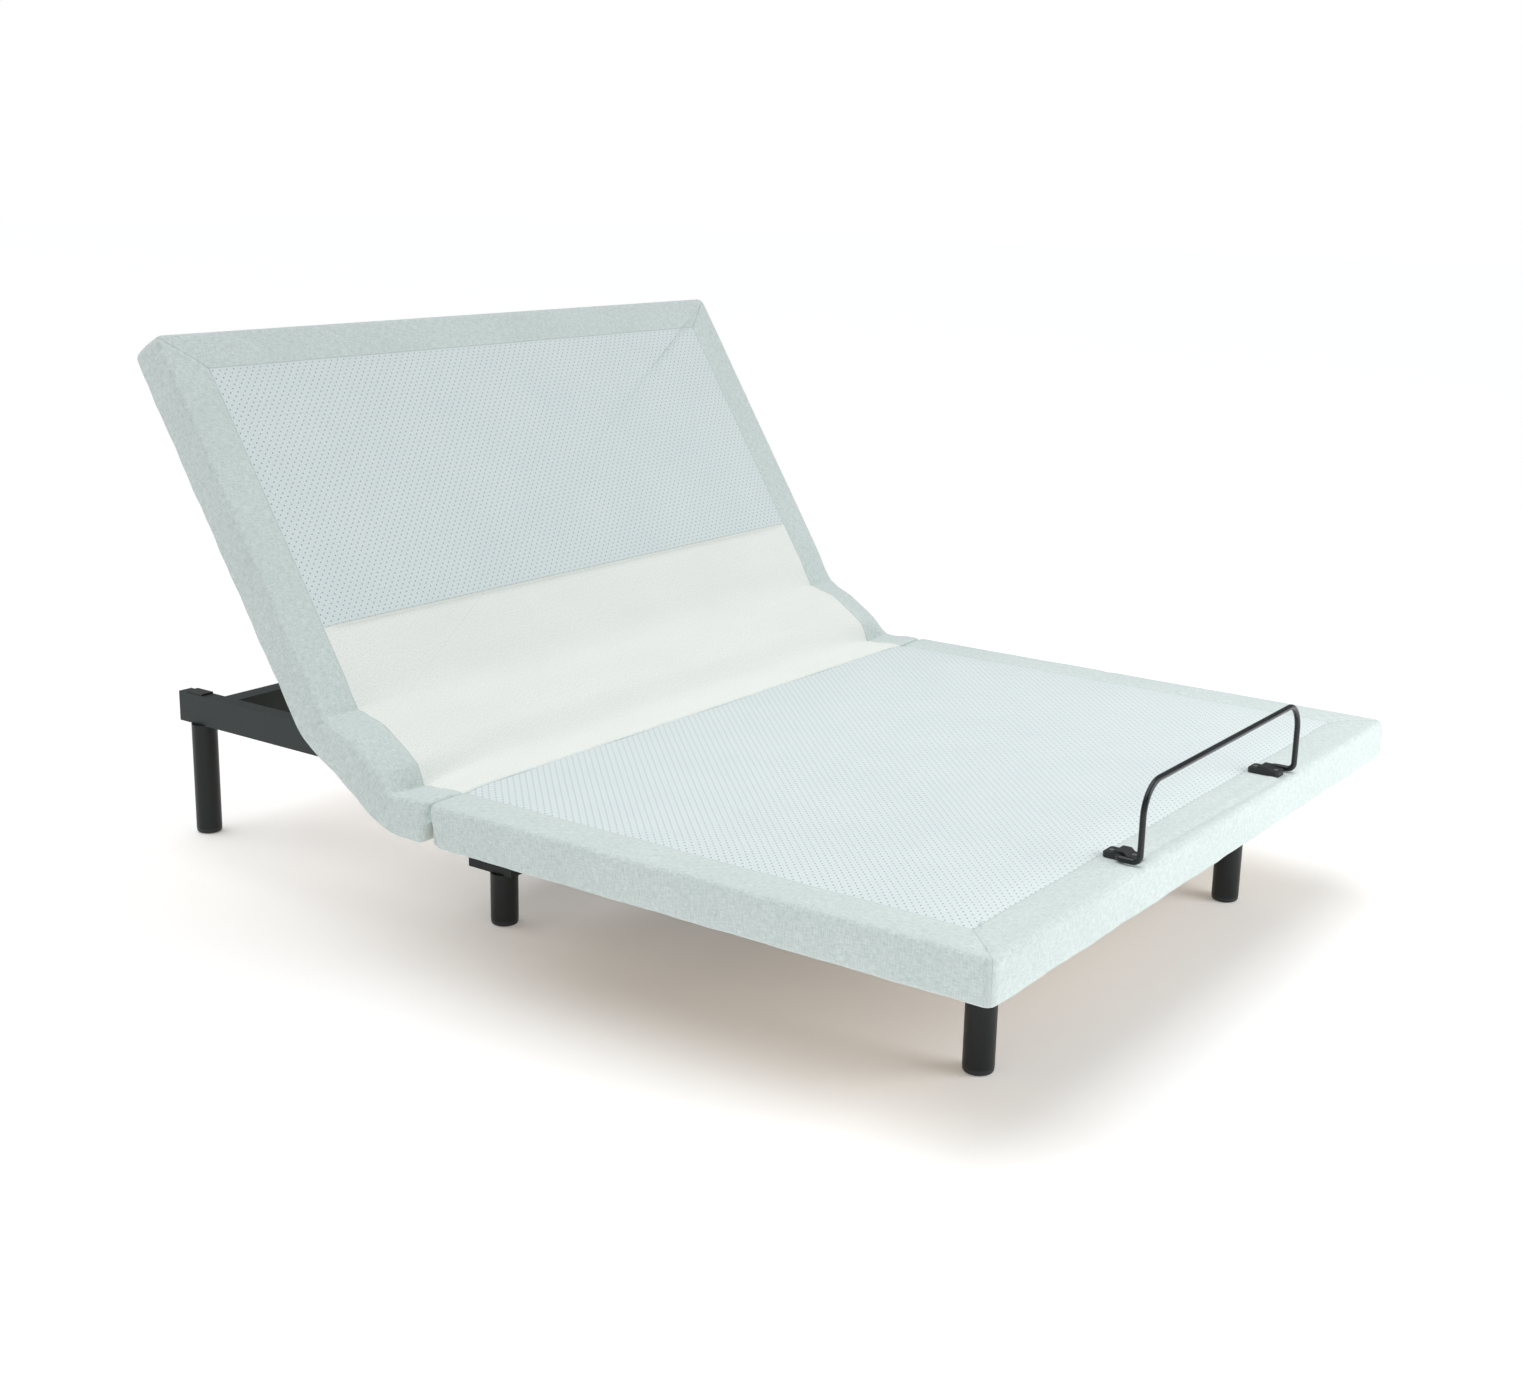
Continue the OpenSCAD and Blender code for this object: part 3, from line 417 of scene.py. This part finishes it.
class Cover:
    """A closed padded cover: a top grid, edges that wrap under the section, and an inside on the boards."""

    def __init__(self, xs, ss, closed_end, inner_at, shape, place):
        self.verts, self.flat, self.faces, self.inner = [], [], [], []
        self.shape, self.place = shape, place
        nx, ns = len(xs), len(ss)
        grid = [[self.add(x, s, 0.0, FOAM, x, s, 0.0) for x in xs] for s in ss]
        for j in range(ns - 1):
            for i in range(nx - 1):
                self.faces.append((grid[j][i], grid[j][i + 1], grid[j + 1][i + 1], grid[j + 1][i]))
        # contour: up the left side, across the closed end, down the right side
        contour = [(xs[0], s, (-1.0, 0.0), grid[j][0]) for j, s in enumerate(ss)]
        if closed_end:
            turn = [math.radians(a) for a in (18, 36, 54, 72)]
            contour += [(xs[0], ss[-1], (-math.cos(a), math.sin(a)), grid[-1][0]) for a in turn]
            contour += [(x, ss[-1], (0.0, 1.0), grid[-1][i]) for i, x in enumerate(xs)]
            contour += [(xs[-1], ss[-1], (math.sin(a), math.cos(a)), grid[-1][-1]) for a in turn]
            contour += [(xs[-1], s, (1.0, 0.0), grid[j][-1]) for j, s in reversed(list(enumerate(ss)))]
            runs = [contour]
        else:
            right = [(xs[-1], s, (1.0, 0.0), grid[j][-1]) for j, s in reversed(list(enumerate(ss)))]
            runs = [contour, right]
        self.rings = []
        for run in runs:
            columns = []
            for bx, bs, n, top in run:
                xa = inner_at(bs)
                hem = 18.5 if xa == RING_APRON else 3.0
                inside = [(xa - BASE_X - hem, HEM_H), (xa - BASE_X, HEM_H), (xa - BASE_X, LEDGE_H),
                          (4.2, LEDGE_H), (4.2, 0.4)]
                column = [top]
                for k, (o, h) in enumerate(PROFILE):
                    column.append(self.edge_point(bx, bs, n, o, h, ARC[k], ss[-1], k))
                for o, h in inside:
                    column.append(self.edge_point(bx, bs, n, o, h, ARC[-1] + 1, ss[-1], None))
                columns.append(column)
            for a, b in zip(columns[:-1], columns[1:]):
                for k in range(len(a) - 1):
                    self.faces.append((a[k], b[k], b[k + 1], a[k + 1]))
            self.rings.append(columns)
        # inside face on the boards
        if closed_end:
            cols = self.rings[0]
            left, right = cols[:ns], cols[-ns:][::-1]
            end = [c[-1] for c in cols[ns - 1:len(cols) - ns + 1]]
        else:
            left, right, end = self.rings[0], self.rings[1][::-1], None
        for j in range(ns - 1):
            self.faces.append((left[j][-1], left[j + 1][-1], right[j + 1][-1], right[j][-1]))
        if end:
            self.faces.append(tuple(end))
        # end faces where the cover is cut
        self.caps = []
        for j in ([0] if closed_end else [0, ns - 1]):
            loop = [v for v in left[j][1:]] + [v for v in right[j][:0:-1]] + list(reversed(grid[j]))
            loop = loop if j == 0 else loop[::-1]
            points = [Vector(self.verts[v]) for v in loop]
            facing = loop_normal(points)
            for tri in tessellate_polygon([points]):
                turn = 1 if loop_normal([points[k] for k in tri]).dot(facing) > 0 else -1
                self.caps.append(len(self.faces))
                self.faces.append(tuple(loop[k] for k in tri[::turn]))

    def edge_point(self, bx, bs, n, o, h, arc, s_end, k):
        x, s = bx + n[0] * o, bs + n[1] * o
        if o < 0:
            limit_x, limit_s = BASE_X + o, s_end + o
            x = min(max(x, -limit_x), limit_x)
            s = min(s, limit_s) if n[1] > 0 or bs > limit_s else s
        return self.add(x, s, o, h, bx + n[0] * arc, bs + n[1] * arc, 0.0 if k is not None else 1.0, n)

    def add(self, x, s, out, h, fx, fs, inner, n=None):
        x2, s2, h2 = self.shape(x, s, h, out, inner > 0.5, n)
        self.verts.append(self.place(x2, s2, h2))
        self.flat.append((fx * MM, fs * MM, 0.0))
        self.inner.append(inner)
        return len(self.verts) - 1


def row(y, z):
    """A point of the side view in the row frame, in metres."""
    return (y - Y_MID) * MM, z * MM


def turned(y0, z0, s, h, tilt):
    c, d = math.cos(tilt), math.sin(tilt)
    return y0 + s * c - h * d, z0 + s * d + h * c


FOLD_Y, FOLD_Z = turned(WAIST_Y, AXIS_Z, LUMBAR, 0.0, LUMBAR_TILT)
WAIST_ZONE, FOLD_ZONE, KNEE_ZONE = 62.0, 72.0, 64.0


def head_place(x, s, h):
    seat = (HIP_Y + s, AXIS_Z + h)
    lumbar = turned(WAIST_Y, AXIS_Z, s - WAIST_S, h, LUMBAR_TILT)
    back = turned(FOLD_Y, FOLD_Z, s - FOLD_S, h, BACK_TILT)
    if s < CUT_S:
        w = float(smooth(WAIST_S - WAIST_ZONE, WAIST_S + WAIST_ZONE, s))
        a, b = seat, lumbar
    else:
        w = float(smooth(FOLD_S - FOLD_ZONE, FOLD_S + FOLD_ZONE, s))
        a, b = lumbar, back
    y, z = a[0] * (1 - w) + b[0] * w, a[1] * (1 - w) + b[1] * w
    y, z = row(y, z)
    return x * MM, y, z


def leg_place(x, s, h):
    y, z = row(HIP_Y - s, AXIS_Z + h)
    return -x * MM, y, z


def bump_at(v, centre, width):
    return math.exp(-((v - centre) / width) ** 2)


def plateau(v, a, b, edge):
    """1 between a and b, falling to 0 at both over the given edge, with a rounded shoulder."""
    d = min(v - a, b - v)
    if d <= 0:
        return 0.0
    t = min(1.0, d / edge)
    return math.sin(t * math.pi / 2)


def ripple(x, s, seed):
    """A slow, small unevenness of hand-stretched cloth, about -1 to 1."""
    return (math.sin(x * 0.021 + seed) * math.sin(s * 0.017 + 1.7 * seed)
            + 0.6 * math.sin(x * 0.047 + 2.1 * seed + s * 0.013) * math.sin(s * 0.039 + seed)) / 1.6


def end_round(d, r):
    """How far an edge that is rounded over the last r falls back at d from the end."""
    if d >= r:
        return 0.0
    t = 1 - max(d, 0.0) / r
    return r * (1 - math.sqrt(max(0.0, 1 - t * t)))


def mitre_distance(ax, s, end_seam, length):
    """Distance to the mitred seam at a corner, which is far away anywhere else."""
    run_x, run_s = BASE_X - SEAM_X, length - INSET - end_seam
    a, b = ax - SEAM_X, s - end_seam
    if a < 0 or b < 0:
        return 99.0
    return abs(a * run_s - b * run_x) / math.hypot(run_x, run_s)


def split_face(x, s, h, ax, top, n):
    """Rounded edge and sloping face at the split in front of the seat."""
    back_off = end_round(s - 0.8, 4.0 + 5.0 * float(smooth(SEAM_X - 30, SEAM_X, ax)))
    if back_off > 0:
        if top:
            h -= back_off * 0.8
        if n is not None:
            x -= n[0] * back_off * 0.8
        if h < -40:
            h += back_off * 0.6
    slope = float(smooth(16, -LOW, h)) * (1 - float(smooth(10, 70, s)))
    s += 0.8 + 14.5 * slope
    return x, s, h


def head_shape(x, s, h, out, inner, n):
    if inner:
        return x, s, h
    ax = abs(x)
    top = h > 0
    amount = 0.0
    end_seam = HEAD_LEN - BORDER_HEAD
    if top:
        edge_fade = 1.0 if out <= 0 else max(0.0, 1 - out / INSET) ** 0.5
        if ax < SEAM_X and s < end_seam:
            dotted_from = FOLD_S + DOTS_FROM
            part = (0.0, dotted_from) if s < dotted_from else (dotted_from, end_seam)
            crown = CROWN_HEAD * plateau(ax, -1e4, SEAM_X, 60) * plateau(s, part[0] - 30, part[1], 45)
        else:
            side = plateau(ax, SEAM_X, HALF + 18, 22) if s < end_seam + (ax - SEAM_X) else 0.0
            head = plateau(s, end_seam, HEAD_LEN + 18, 22) if s >= end_seam - (SEAM_X - ax) else 0.0
            crown = CROWN_BORDER * max(side, head)
        amount += crown * edge_fade
        # the lumbar cushion stands up between its two creases, and bridges them softly away from the border
        middle = float(1 - smooth(SEAM_X - 190, SEAM_X - 6, ax))
        edge_lump = (float(smooth(WAIST_S - 4, WAIST_S + 36, s))
                     * (1 - float(smooth(FOLD_S - 70, FOLD_S + 26, s))))
        soft_lump = (float(smooth(WAIST_S - 66, WAIST_S + 70, s))
                     * (1 - float(smooth(FOLD_S - 70, FOLD_S + 110, s))))
        lump = edge_lump * (1 - middle) + soft_lump * middle
        lump_x = 0.42 + 0.58 * float(1 - smooth(SEAM_X + 10, HALF + 6, ax))
        amount += CUSHION * lump * lump_x * edge_fade
        # creases pinch the border most and die out in the plain cloth
        pinch = bump_at(ax, SEAM_X + 20, 56)
        amount -= CREASE_WAIST * pinch * bump_at(s, WAIST_S + 2, 8) * edge_fade
        amount -= CREASE_FOLD * pinch * bump_at(s, FOLD_S + 1, 8) * edge_fade
        amount += RIPPLE * ripple(x, s, 1.3) * edge_fade
        # soft folds that fan from the creases' ends across the plain cloth
        for centre, lean, size in ((WAIST_S + 22, 0.16, 0.8), (WAIST_S + 52, 0.30, 0.6),
                                   (FOLD_S - 26, -0.24, 0.6)):
            run = max(0.0, SEAM_X - ax)
            amount -= size * bump_at(s, centre + lean * run, 10 + 0.07 * run) * math.exp(-run / 90)
        amount -= MITRE_DIP * bump_at(mitre_distance(ax, s, end_seam, HEAD_LEN), 0.0, MITRE_WIDTH) * edge_fade
    # the band's side: soft puckers at both bends
    if h <= 8 and n is not None:
        bend = bump_at(s, WAIST_S, 26) + 0.8 * bump_at(s, FOLD_S, 34)
        puck = bend * math.sin(s * 0.42 + h * 0.05) * 1.3 * float(smooth(-60, 10, h))
        puck -= (3.4 * (bump_at(s, WAIST_S + 1, 6) + 0.8 * bump_at(s, FOLD_S + 1, 7))
                 * float(smooth(-46, 8, h)))
        wave = 0.7 * math.sin(s * 0.043 + 0.8) + 0.5 * math.sin(s * 0.113)
        x += n[0] * (puck + wave)
        s += n[1] * (0.7 * math.sin(x * 0.037) + 0.4 * math.sin(x * 0.09))
    # thinner band under the bends
    if h < -20:
        thin = bump_at(s, (WAIST_S + FOLD_S) / 2, 120)
        h += 7.0 * thin
    h += amount
    return split_face(x, s, h, ax, top, n)


def leg_shape(x, s, h, out, inner, n):
    if inner:
        return x, s, h
    ax = abs(x)
    top = h > 0
    amount = 0.0
    end_seam = LEG_LEN - BORDER_FOOT
    if top:
        edge_fade = 1.0 if out <= 0 else max(0.0, 1 - out / INSET) ** 0.5
        if ax < SEAM_X and s < end_seam:
            crown = CROWN_LEG * plateau(ax, -1e4, SEAM_X, 60) * plateau(s, -30, end_seam, 50)
        else:
            side = plateau(ax, SEAM_X, HALF + 18, 22) if s < end_seam + (ax - SEAM_X) else 0.0
            foot = plateau(s, end_seam, LEG_LEN + 18, 24) if s >= end_seam - (SEAM_X - ax) else 0.0
            crown = CROWN_BORDER * max(side, foot)
        # the retainer's blocks hold the cloth down
        y = LEG_LEN - s
        press = max(math.exp(-(((x - c) / CLAMP_HALF_X) ** 4 + ((y - CLAMP_Y) / CLAMP_HALF_Y) ** 4))
                    for c in (-CLAMP_X, CLAMP_X))
        amount += crown * edge_fade * (1 - press)
        between = float(smooth(330, 250, ax))
        amount -= 2.4 * between * bump_at(y, 20 + 5 * math.sin(x * 0.006), 6.0)
        amount += 1.0 * between * bump_at(y, 33 + 5 * math.sin(x * 0.006), 8)
        amount -= 1.6 * (0.25 + 0.75 * bump_at(ax, HALF - 30, 60)) * bump_at(s, HIP_Y - KNEE_Y, 9)
        amount += RIPPLE * ripple(x, s, 2.4) * edge_fade * (1 - press)
        amount -= MITRE_DIP * bump_at(mitre_distance(ax, s, end_seam, LEG_LEN), 0.0, MITRE_WIDTH) * edge_fade
    if h <= 8 and n is not None:
        wave = 0.8 * math.sin(s * 0.037 + 0.3) + 0.5 * math.sin(s * 0.101 + 1.0)
        puck = -2.2 * bump_at(s, HIP_Y - KNEE_Y, 7) * float(smooth(-56, 10, h))
        x += n[0] * (wave + puck)
        s += n[1] * (0.8 * math.sin(x * 0.03) + 0.5 * math.sin(x * 0.083))
    h += amount
    return split_face(x, s, h, ax, top, n)


def region_materials(prefix, end_seam, length, across_seam=None):
    return [linen(prefix + " border linen", end_seam, length),
            dotted(prefix + " dotted cloth", end_seam, length, across_seam, False),
            ivory(prefix + " ivory cloth", end_seam, length, across_seam, False)]


def head_region(x, s, on_top):
    if not on_top or abs(x) > SEAM_X or s > HEAD_LEN - BORDER_HEAD:
        return 0
    return 1 if s > FOLD_S + DOTS_FROM else 2


def leg_region(x, s, on_top):
    if not on_top or abs(x) > SEAM_X or s > LEG_LEN - BORDER_FOOT:
        return 0
    return 1


def cover_object(name, cover, region, mats):
    mesh = bpy.data.meshes.new(name)
    mesh.from_pydata(cover.verts, [], cover.faces)
    for m in mats:
        mesh.materials.append(m)
    flat = mesh.attributes.new("flat", "FLOAT_VECTOR", "POINT")
    flat.data.foreach_set("vector", np.array(cover.flat, np.float32).ravel())
    inner = mesh.attributes.new("inner", "FLOAT", "POINT")
    inner.data.foreach_set("value", np.array(cover.inner, np.float32))
    obj = bpy.data.objects.new(name, mesh)
    scene.collection.objects.link(obj)
    for i, f in enumerate(cover.faces):
        fx = sum(cover.flat[v][0] for v in f) / len(f) / MM
        fs = sum(cover.flat[v][1] for v in f) / len(f) / MM
        inside = all(cover.inner[v] > 0.5 for v in f)
        mesh.polygons[i].material_index = region(fx, fs, not inside and len(f) == 4)
    cap = mesh.attributes.new("cap", "BOOLEAN", "FACE")
    for i in cover.caps:
        cap.data[i].value = True
    mesh.polygons.foreach_set("use_smooth", [True] * len(cover.faces))
    return obj


FIELD_STEP, BORDER_STEP, FINE = 11.0, 6.5, 1.8
FIELD_XS = ticks([-SEAM_X, SEAM_X], FIELD_STEP, FINE)
BORDER_XS = ticks([SEAM_X, BASE_X], BORDER_STEP, FINE)
XS = sorted(set(FIELD_XS + BORDER_XS + [-x for x in BORDER_XS]))
HEAD_SS_LOW = ticks([0.0, WAIST_S, CUT_S], 6.0, FINE)
HEAD_SS_HIGH = sorted(set(ticks([CUT_S, FOLD_S], 6.5, FINE) + ticks([FOLD_S, FOLD_S + DOTS_FROM], 8.0, FINE)
                          + ticks([FOLD_S + DOTS_FROM, HEAD_LEN - BORDER_HEAD], FIELD_STEP, FINE)
                          + ticks([HEAD_LEN - BORDER_HEAD, HEAD_LEN - INSET], BORDER_STEP, FINE)))
LEG_SS = sorted(set(ticks([0.0, HIP_Y - KNEE_Y, LEG_LEN - BORDER_FOOT], FIELD_STEP, FINE)
                    + ticks([LEG_LEN - BORDER_FOOT, LEG_LEN - INSET], 5.5, FINE)))


def inner_edge(s):
    """Inside face of the side band: at the timber apron, or at the thick band of the seat and lumbar."""
    return RING_APRON if s > FOLD_S + 4 else RING_BAND


head_mats = region_materials("back", HEAD_LEN - BORDER_HEAD, HEAD_LEN, FOLD_S + DOTS_FROM)
leg_mats = region_materials("leg", LEG_LEN - BORDER_FOOT, LEG_LEN)

back_cover = cover_object("back_cover", Cover(XS, HEAD_SS_HIGH, True, inner_edge, head_shape, head_place),
                          head_region, head_mats)
lumbar_cover = cover_object("lumbar_cover",
                            Cover(XS, HEAD_SS_LOW, False, lambda s: RING_BAND, head_shape, head_place),
                            head_region, head_mats)
leg_cover = cover_object("leg_cover", Cover(XS, LEG_SS, True, lambda s: RING_APRON, leg_shape, leg_place),
                         leg_region, leg_mats)
COVERS = (back_cover, lumbar_cover, leg_cover)


for obj in COVERS:
    mod = obj.modifiers.new("weld", "WELD")
    mod.merge_threshold = 0.00005
    with bpy.context.temp_override(object=obj, active_object=obj, selected_objects=[obj]):
        bpy.ops.object.modifier_apply(modifier="weld")


def sharp_ends(obj):
    """Keeps the faces that close a cut from tinting the shading of the cloth beside them."""
    edges = {e.key: e for e in obj.data.edges}
    cap = obj.data.attributes["cap"].data
    for i, f in enumerate(obj.data.polygons):
        if cap[i].value or len(f.vertices) > 4:
            for key in f.edge_keys:
                edges[key].use_edge_sharp = True


def read(mesh, name, field, width):
    values = np.empty(len(mesh.vertices) * width, np.float32)
    mesh.attributes[name].data.foreach_get(field, values)
    return values.reshape(-1, width).astype(float)


def settle(obj, length, end_seam, bends, still, fades, across_seam=None):
    """Light cloth simulation of one cover, over the shape made above.

    The seams, the hem and the inside are held, and no point moves further than MOST_MOVE. Nearly all of them
    move by half a millimetre or less, so the folds and creases that show are the ones made above."""
    mesh = obj.data
    x, s, _ = (read(mesh, "flat", "vector", 3) / MM).T
    inside = read(mesh, "inner", "value", 1)[:, 0] > 0.5
    ax = np.abs(x)
    over = np.maximum(ax - BASE_X, s - (length - INSET))
    seam = np.minimum(np.abs(ax - SEAM_X) + PAST_SLOPE * np.maximum(s - end_seam, 0),
                      np.abs(s - end_seam) + PAST_SLOPE * np.maximum(ax - SEAM_X, 0))
    if across_seam is not None:
        seam = np.minimum(seam, np.abs(s - across_seam) + PAST_SLOPE * np.maximum(ax - SEAM_X, 0))
    held = np.clip(np.exp(-(seam / 2.5) ** 2), 0, 1)
    held = np.where(seam < 0.6, 1.0, held * 0.8)
    held = np.where(inside | (over > 74), 1.0, held)
    for cx, cs, rx, rs in still:
        held = np.maximum(held, np.exp(-(((x - cx) / rx) ** 4 + ((s - cs) / rs) ** 4)))
    spare = np.zeros(len(x))
    for centre, width, reach in bends:
        near_edge = smooth(SEAM_X - reach, SEAM_X - 10, ax)
        spare = np.maximum(spare, np.exp(-((s - centre) / width) ** 2) * near_edge)
    held = np.maximum(held, 0.45 - 0.25 * spare)
    for name, values in (("held", held), ("spare", spare)):
        group = obj.vertex_groups.new(name=name)
        for level in np.unique(np.round(values, 2)):
            if level > 0:
                group.add(np.flatnonzero(np.round(values, 2) == level).tolist(), float(level), "REPLACE")
    start = np.array([v.co for v in mesh.vertices], float)
    mod = obj.modifiers.new("cloth", "CLOTH")
    cloth = mod.settings
    cloth.quality = 5
    cloth.mass = CLOTH_MASS
    cloth.tension_stiffness = cloth.compression_stiffness = CLOTH_STRETCH
    cloth.shear_stiffness = CLOTH_SHEAR
    cloth.bending_stiffness = CLOTH_BEND
    cloth.air_damping = 1.0
    cloth.vertex_group_mass = "held"
    cloth.vertex_group_shrink = "spare"
    cloth.shrink_min, cloth.shrink_max = 0.0, -CLOTH_SPARE
    cloth.use_pressure = True
    cloth.uniform_pressure_force = CLOTH_PRESSURE
    cloth.effector_weights.gravity = 0.0
    mod.collision_settings.use_collision = False
    mod.collision_settings.use_self_collision = False
    for f in range(1, CLOTH_FRAMES + 1):
        scene.frame_set(f)
    shape = obj.evaluated_get(bpy.context.evaluated_depsgraph_get()).to_mesh()
    moved = np.array([v.co for v in shape.vertices], float) - start
    obj.evaluated_get(bpy.context.evaluated_depsgraph_get()).to_mesh_clear()
    obj.modifiers.remove(mod)
    obj.vertex_groups.clear()
    scene.frame_set(1)
    far = np.linalg.norm(moved, axis=1)
    limit = np.full(len(far), MOST_MOVE * MM)
    for centre, run in fades:
        limit *= smooth(0, run, np.abs(s - centre))
    limit *= FIELD_SHARE + (1 - FIELD_SHARE) * smooth(SEAM_X - 170, SEAM_X - 15, ax)
    limit[inside] = 0
    scale = np.minimum(1.0, limit * np.tanh(far / np.maximum(limit, 1e-9)) / np.maximum(far, 1e-9))
    mesh.vertices.foreach_set("co", (start + moved * scale[:, None]).ravel())
    mesh.update()


blocks = [(side * CLAMP_X, LEG_LEN - CLAMP_Y, CLAMP_HALF_X, CLAMP_HALF_Y) for side in (-1, 1)]
settle(lumbar_cover, HEAD_LEN, HEAD_LEN - BORDER_HEAD, [(WAIST_S, 46.0, 120.0)], [],
       [(0.0, 70.0), (CUT_S, 60.0)])
settle(back_cover, HEAD_LEN, HEAD_LEN - BORDER_HEAD, [(FOLD_S, 50.0, 120.0)], [], [(CUT_S, 60.0)],
       FOLD_S + DOTS_FROM)
settle(leg_cover, LEG_LEN, LEG_LEN - BORDER_FOOT, [(HIP_Y - KNEE_Y, 20.0, 30.0)], blocks, [(0.0, 70.0)])

for obj in COVERS:
    sharp_ends(obj)
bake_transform(back_cover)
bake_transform(lumbar_cover)
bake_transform(leg_cover)
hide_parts("back_pad", "lumbar_pad")
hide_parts("seat_pad", "lumbar_pad")
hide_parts("thigh_pad", "foot_pad")

# ---------------------------------------------------------------- floor, light and camera
floor_mesh = bpy.data.meshes.new("floor")
floor_mesh.from_pydata([(-30, -30, 0), (30, -30, 0), (30, 30, 0), (-30, 30, 0)], [], [(0, 1, 2, 3)])
floor = bpy.data.objects.new("floor", floor_mesh)
scene.collection.objects.link(floor)
fm = Nodes("pale floor")
floor_mesh.materials.append(fm.finish(rgb(250, 250, 250), 0.9, Emission_Color=(1.0, 1.0, 1.0, 1.0),
                                      Emission_Strength=0.19))

world = bpy.data.worlds.new("studio")
scene.world = world
world.use_nodes = True
background = world.node_tree.nodes["Background"]
seen = world.node_tree.nodes.new("ShaderNodeBackground")
choose = world.node_tree.nodes.new("ShaderNodeMixShader")
rays = world.node_tree.nodes.new("ShaderNodeLightPath")
background.inputs[0].default_value = (0.96, 0.99, 1.0, 1.0)
background.inputs[1].default_value = 0.22
seen.inputs[0].default_value = (1.0, 1.0, 1.0, 1.0)
seen.inputs[1].default_value = 1.0
world.node_tree.links.new(rays.outputs["Is Camera Ray"], choose.inputs[0])
world.node_tree.links.new(background.outputs[0], choose.inputs[1])
world.node_tree.links.new(seen.outputs[0], choose.inputs[2])
world.node_tree.links.new(choose.outputs[0], world.node_tree.nodes["World Output"].inputs[0])
scene.view_settings.view_transform = "Standard"


def area_light(name, position, target, size, power):
    data = bpy.data.lights.new(name, "AREA")
    data.shape = "RECTANGLE"
    data.size, data.size_y = size
    data.energy = power
    light = bpy.data.objects.new(name, data)
    scene.collection.objects.link(light)
    light.location = position
    light.rotation_euler = (Vector(target) - Vector(position)).to_track_quat("-Z", "Y").to_euler()


area_light("key", (0.9, -3.6, 1.9), (0, -0.75, 0.3), (2.4, 1.6), 52)
area_light("foot", (0.6, -2.7, 0.75), (0.1, -0.9, 0.25), (2.0, 0.9), 8)
area_light("side", (-3.4, -1.6, 1.1), (-0.5, -0.5, 0.3), (2.4, 1.4), 9)
sun = bpy.data.lights.new("overhead", "SUN")
sun.energy = 2.2
sun.angle = math.radians(70)
overhead = bpy.data.objects.new("overhead", sun)
scene.collection.objects.link(overhead)
overhead.rotation_euler = Vector((-0.1, 0.35, 1.0)).to_track_quat("Z", "Y").to_euler()

# The camera looks at the foot corner from a little above the platform
cam_data = bpy.data.cameras.new("camera")
cam_data.sensor_width = 36.0
cam_data.lens = 47.16
camera = bpy.data.objects.new("camera", cam_data)
scene.collection.objects.link(camera)
ahead = Vector((0.7888, 0.5593, -0.2547)).normalized()
right = Vector((0.5829, -0.8122, 0.0218))
right = (right - ahead * right.dot(ahead)).normalized()
up = right.cross(ahead)
camera.matrix_world = Matrix.Translation((-2.9343, -2.156, 1.3248)) @ Matrix(
    ((right.x, up.x, -ahead.x), (right.y, up.y, -ahead.y), (right.z, up.z, -ahead.z))).to_4x4()
scene.camera = camera
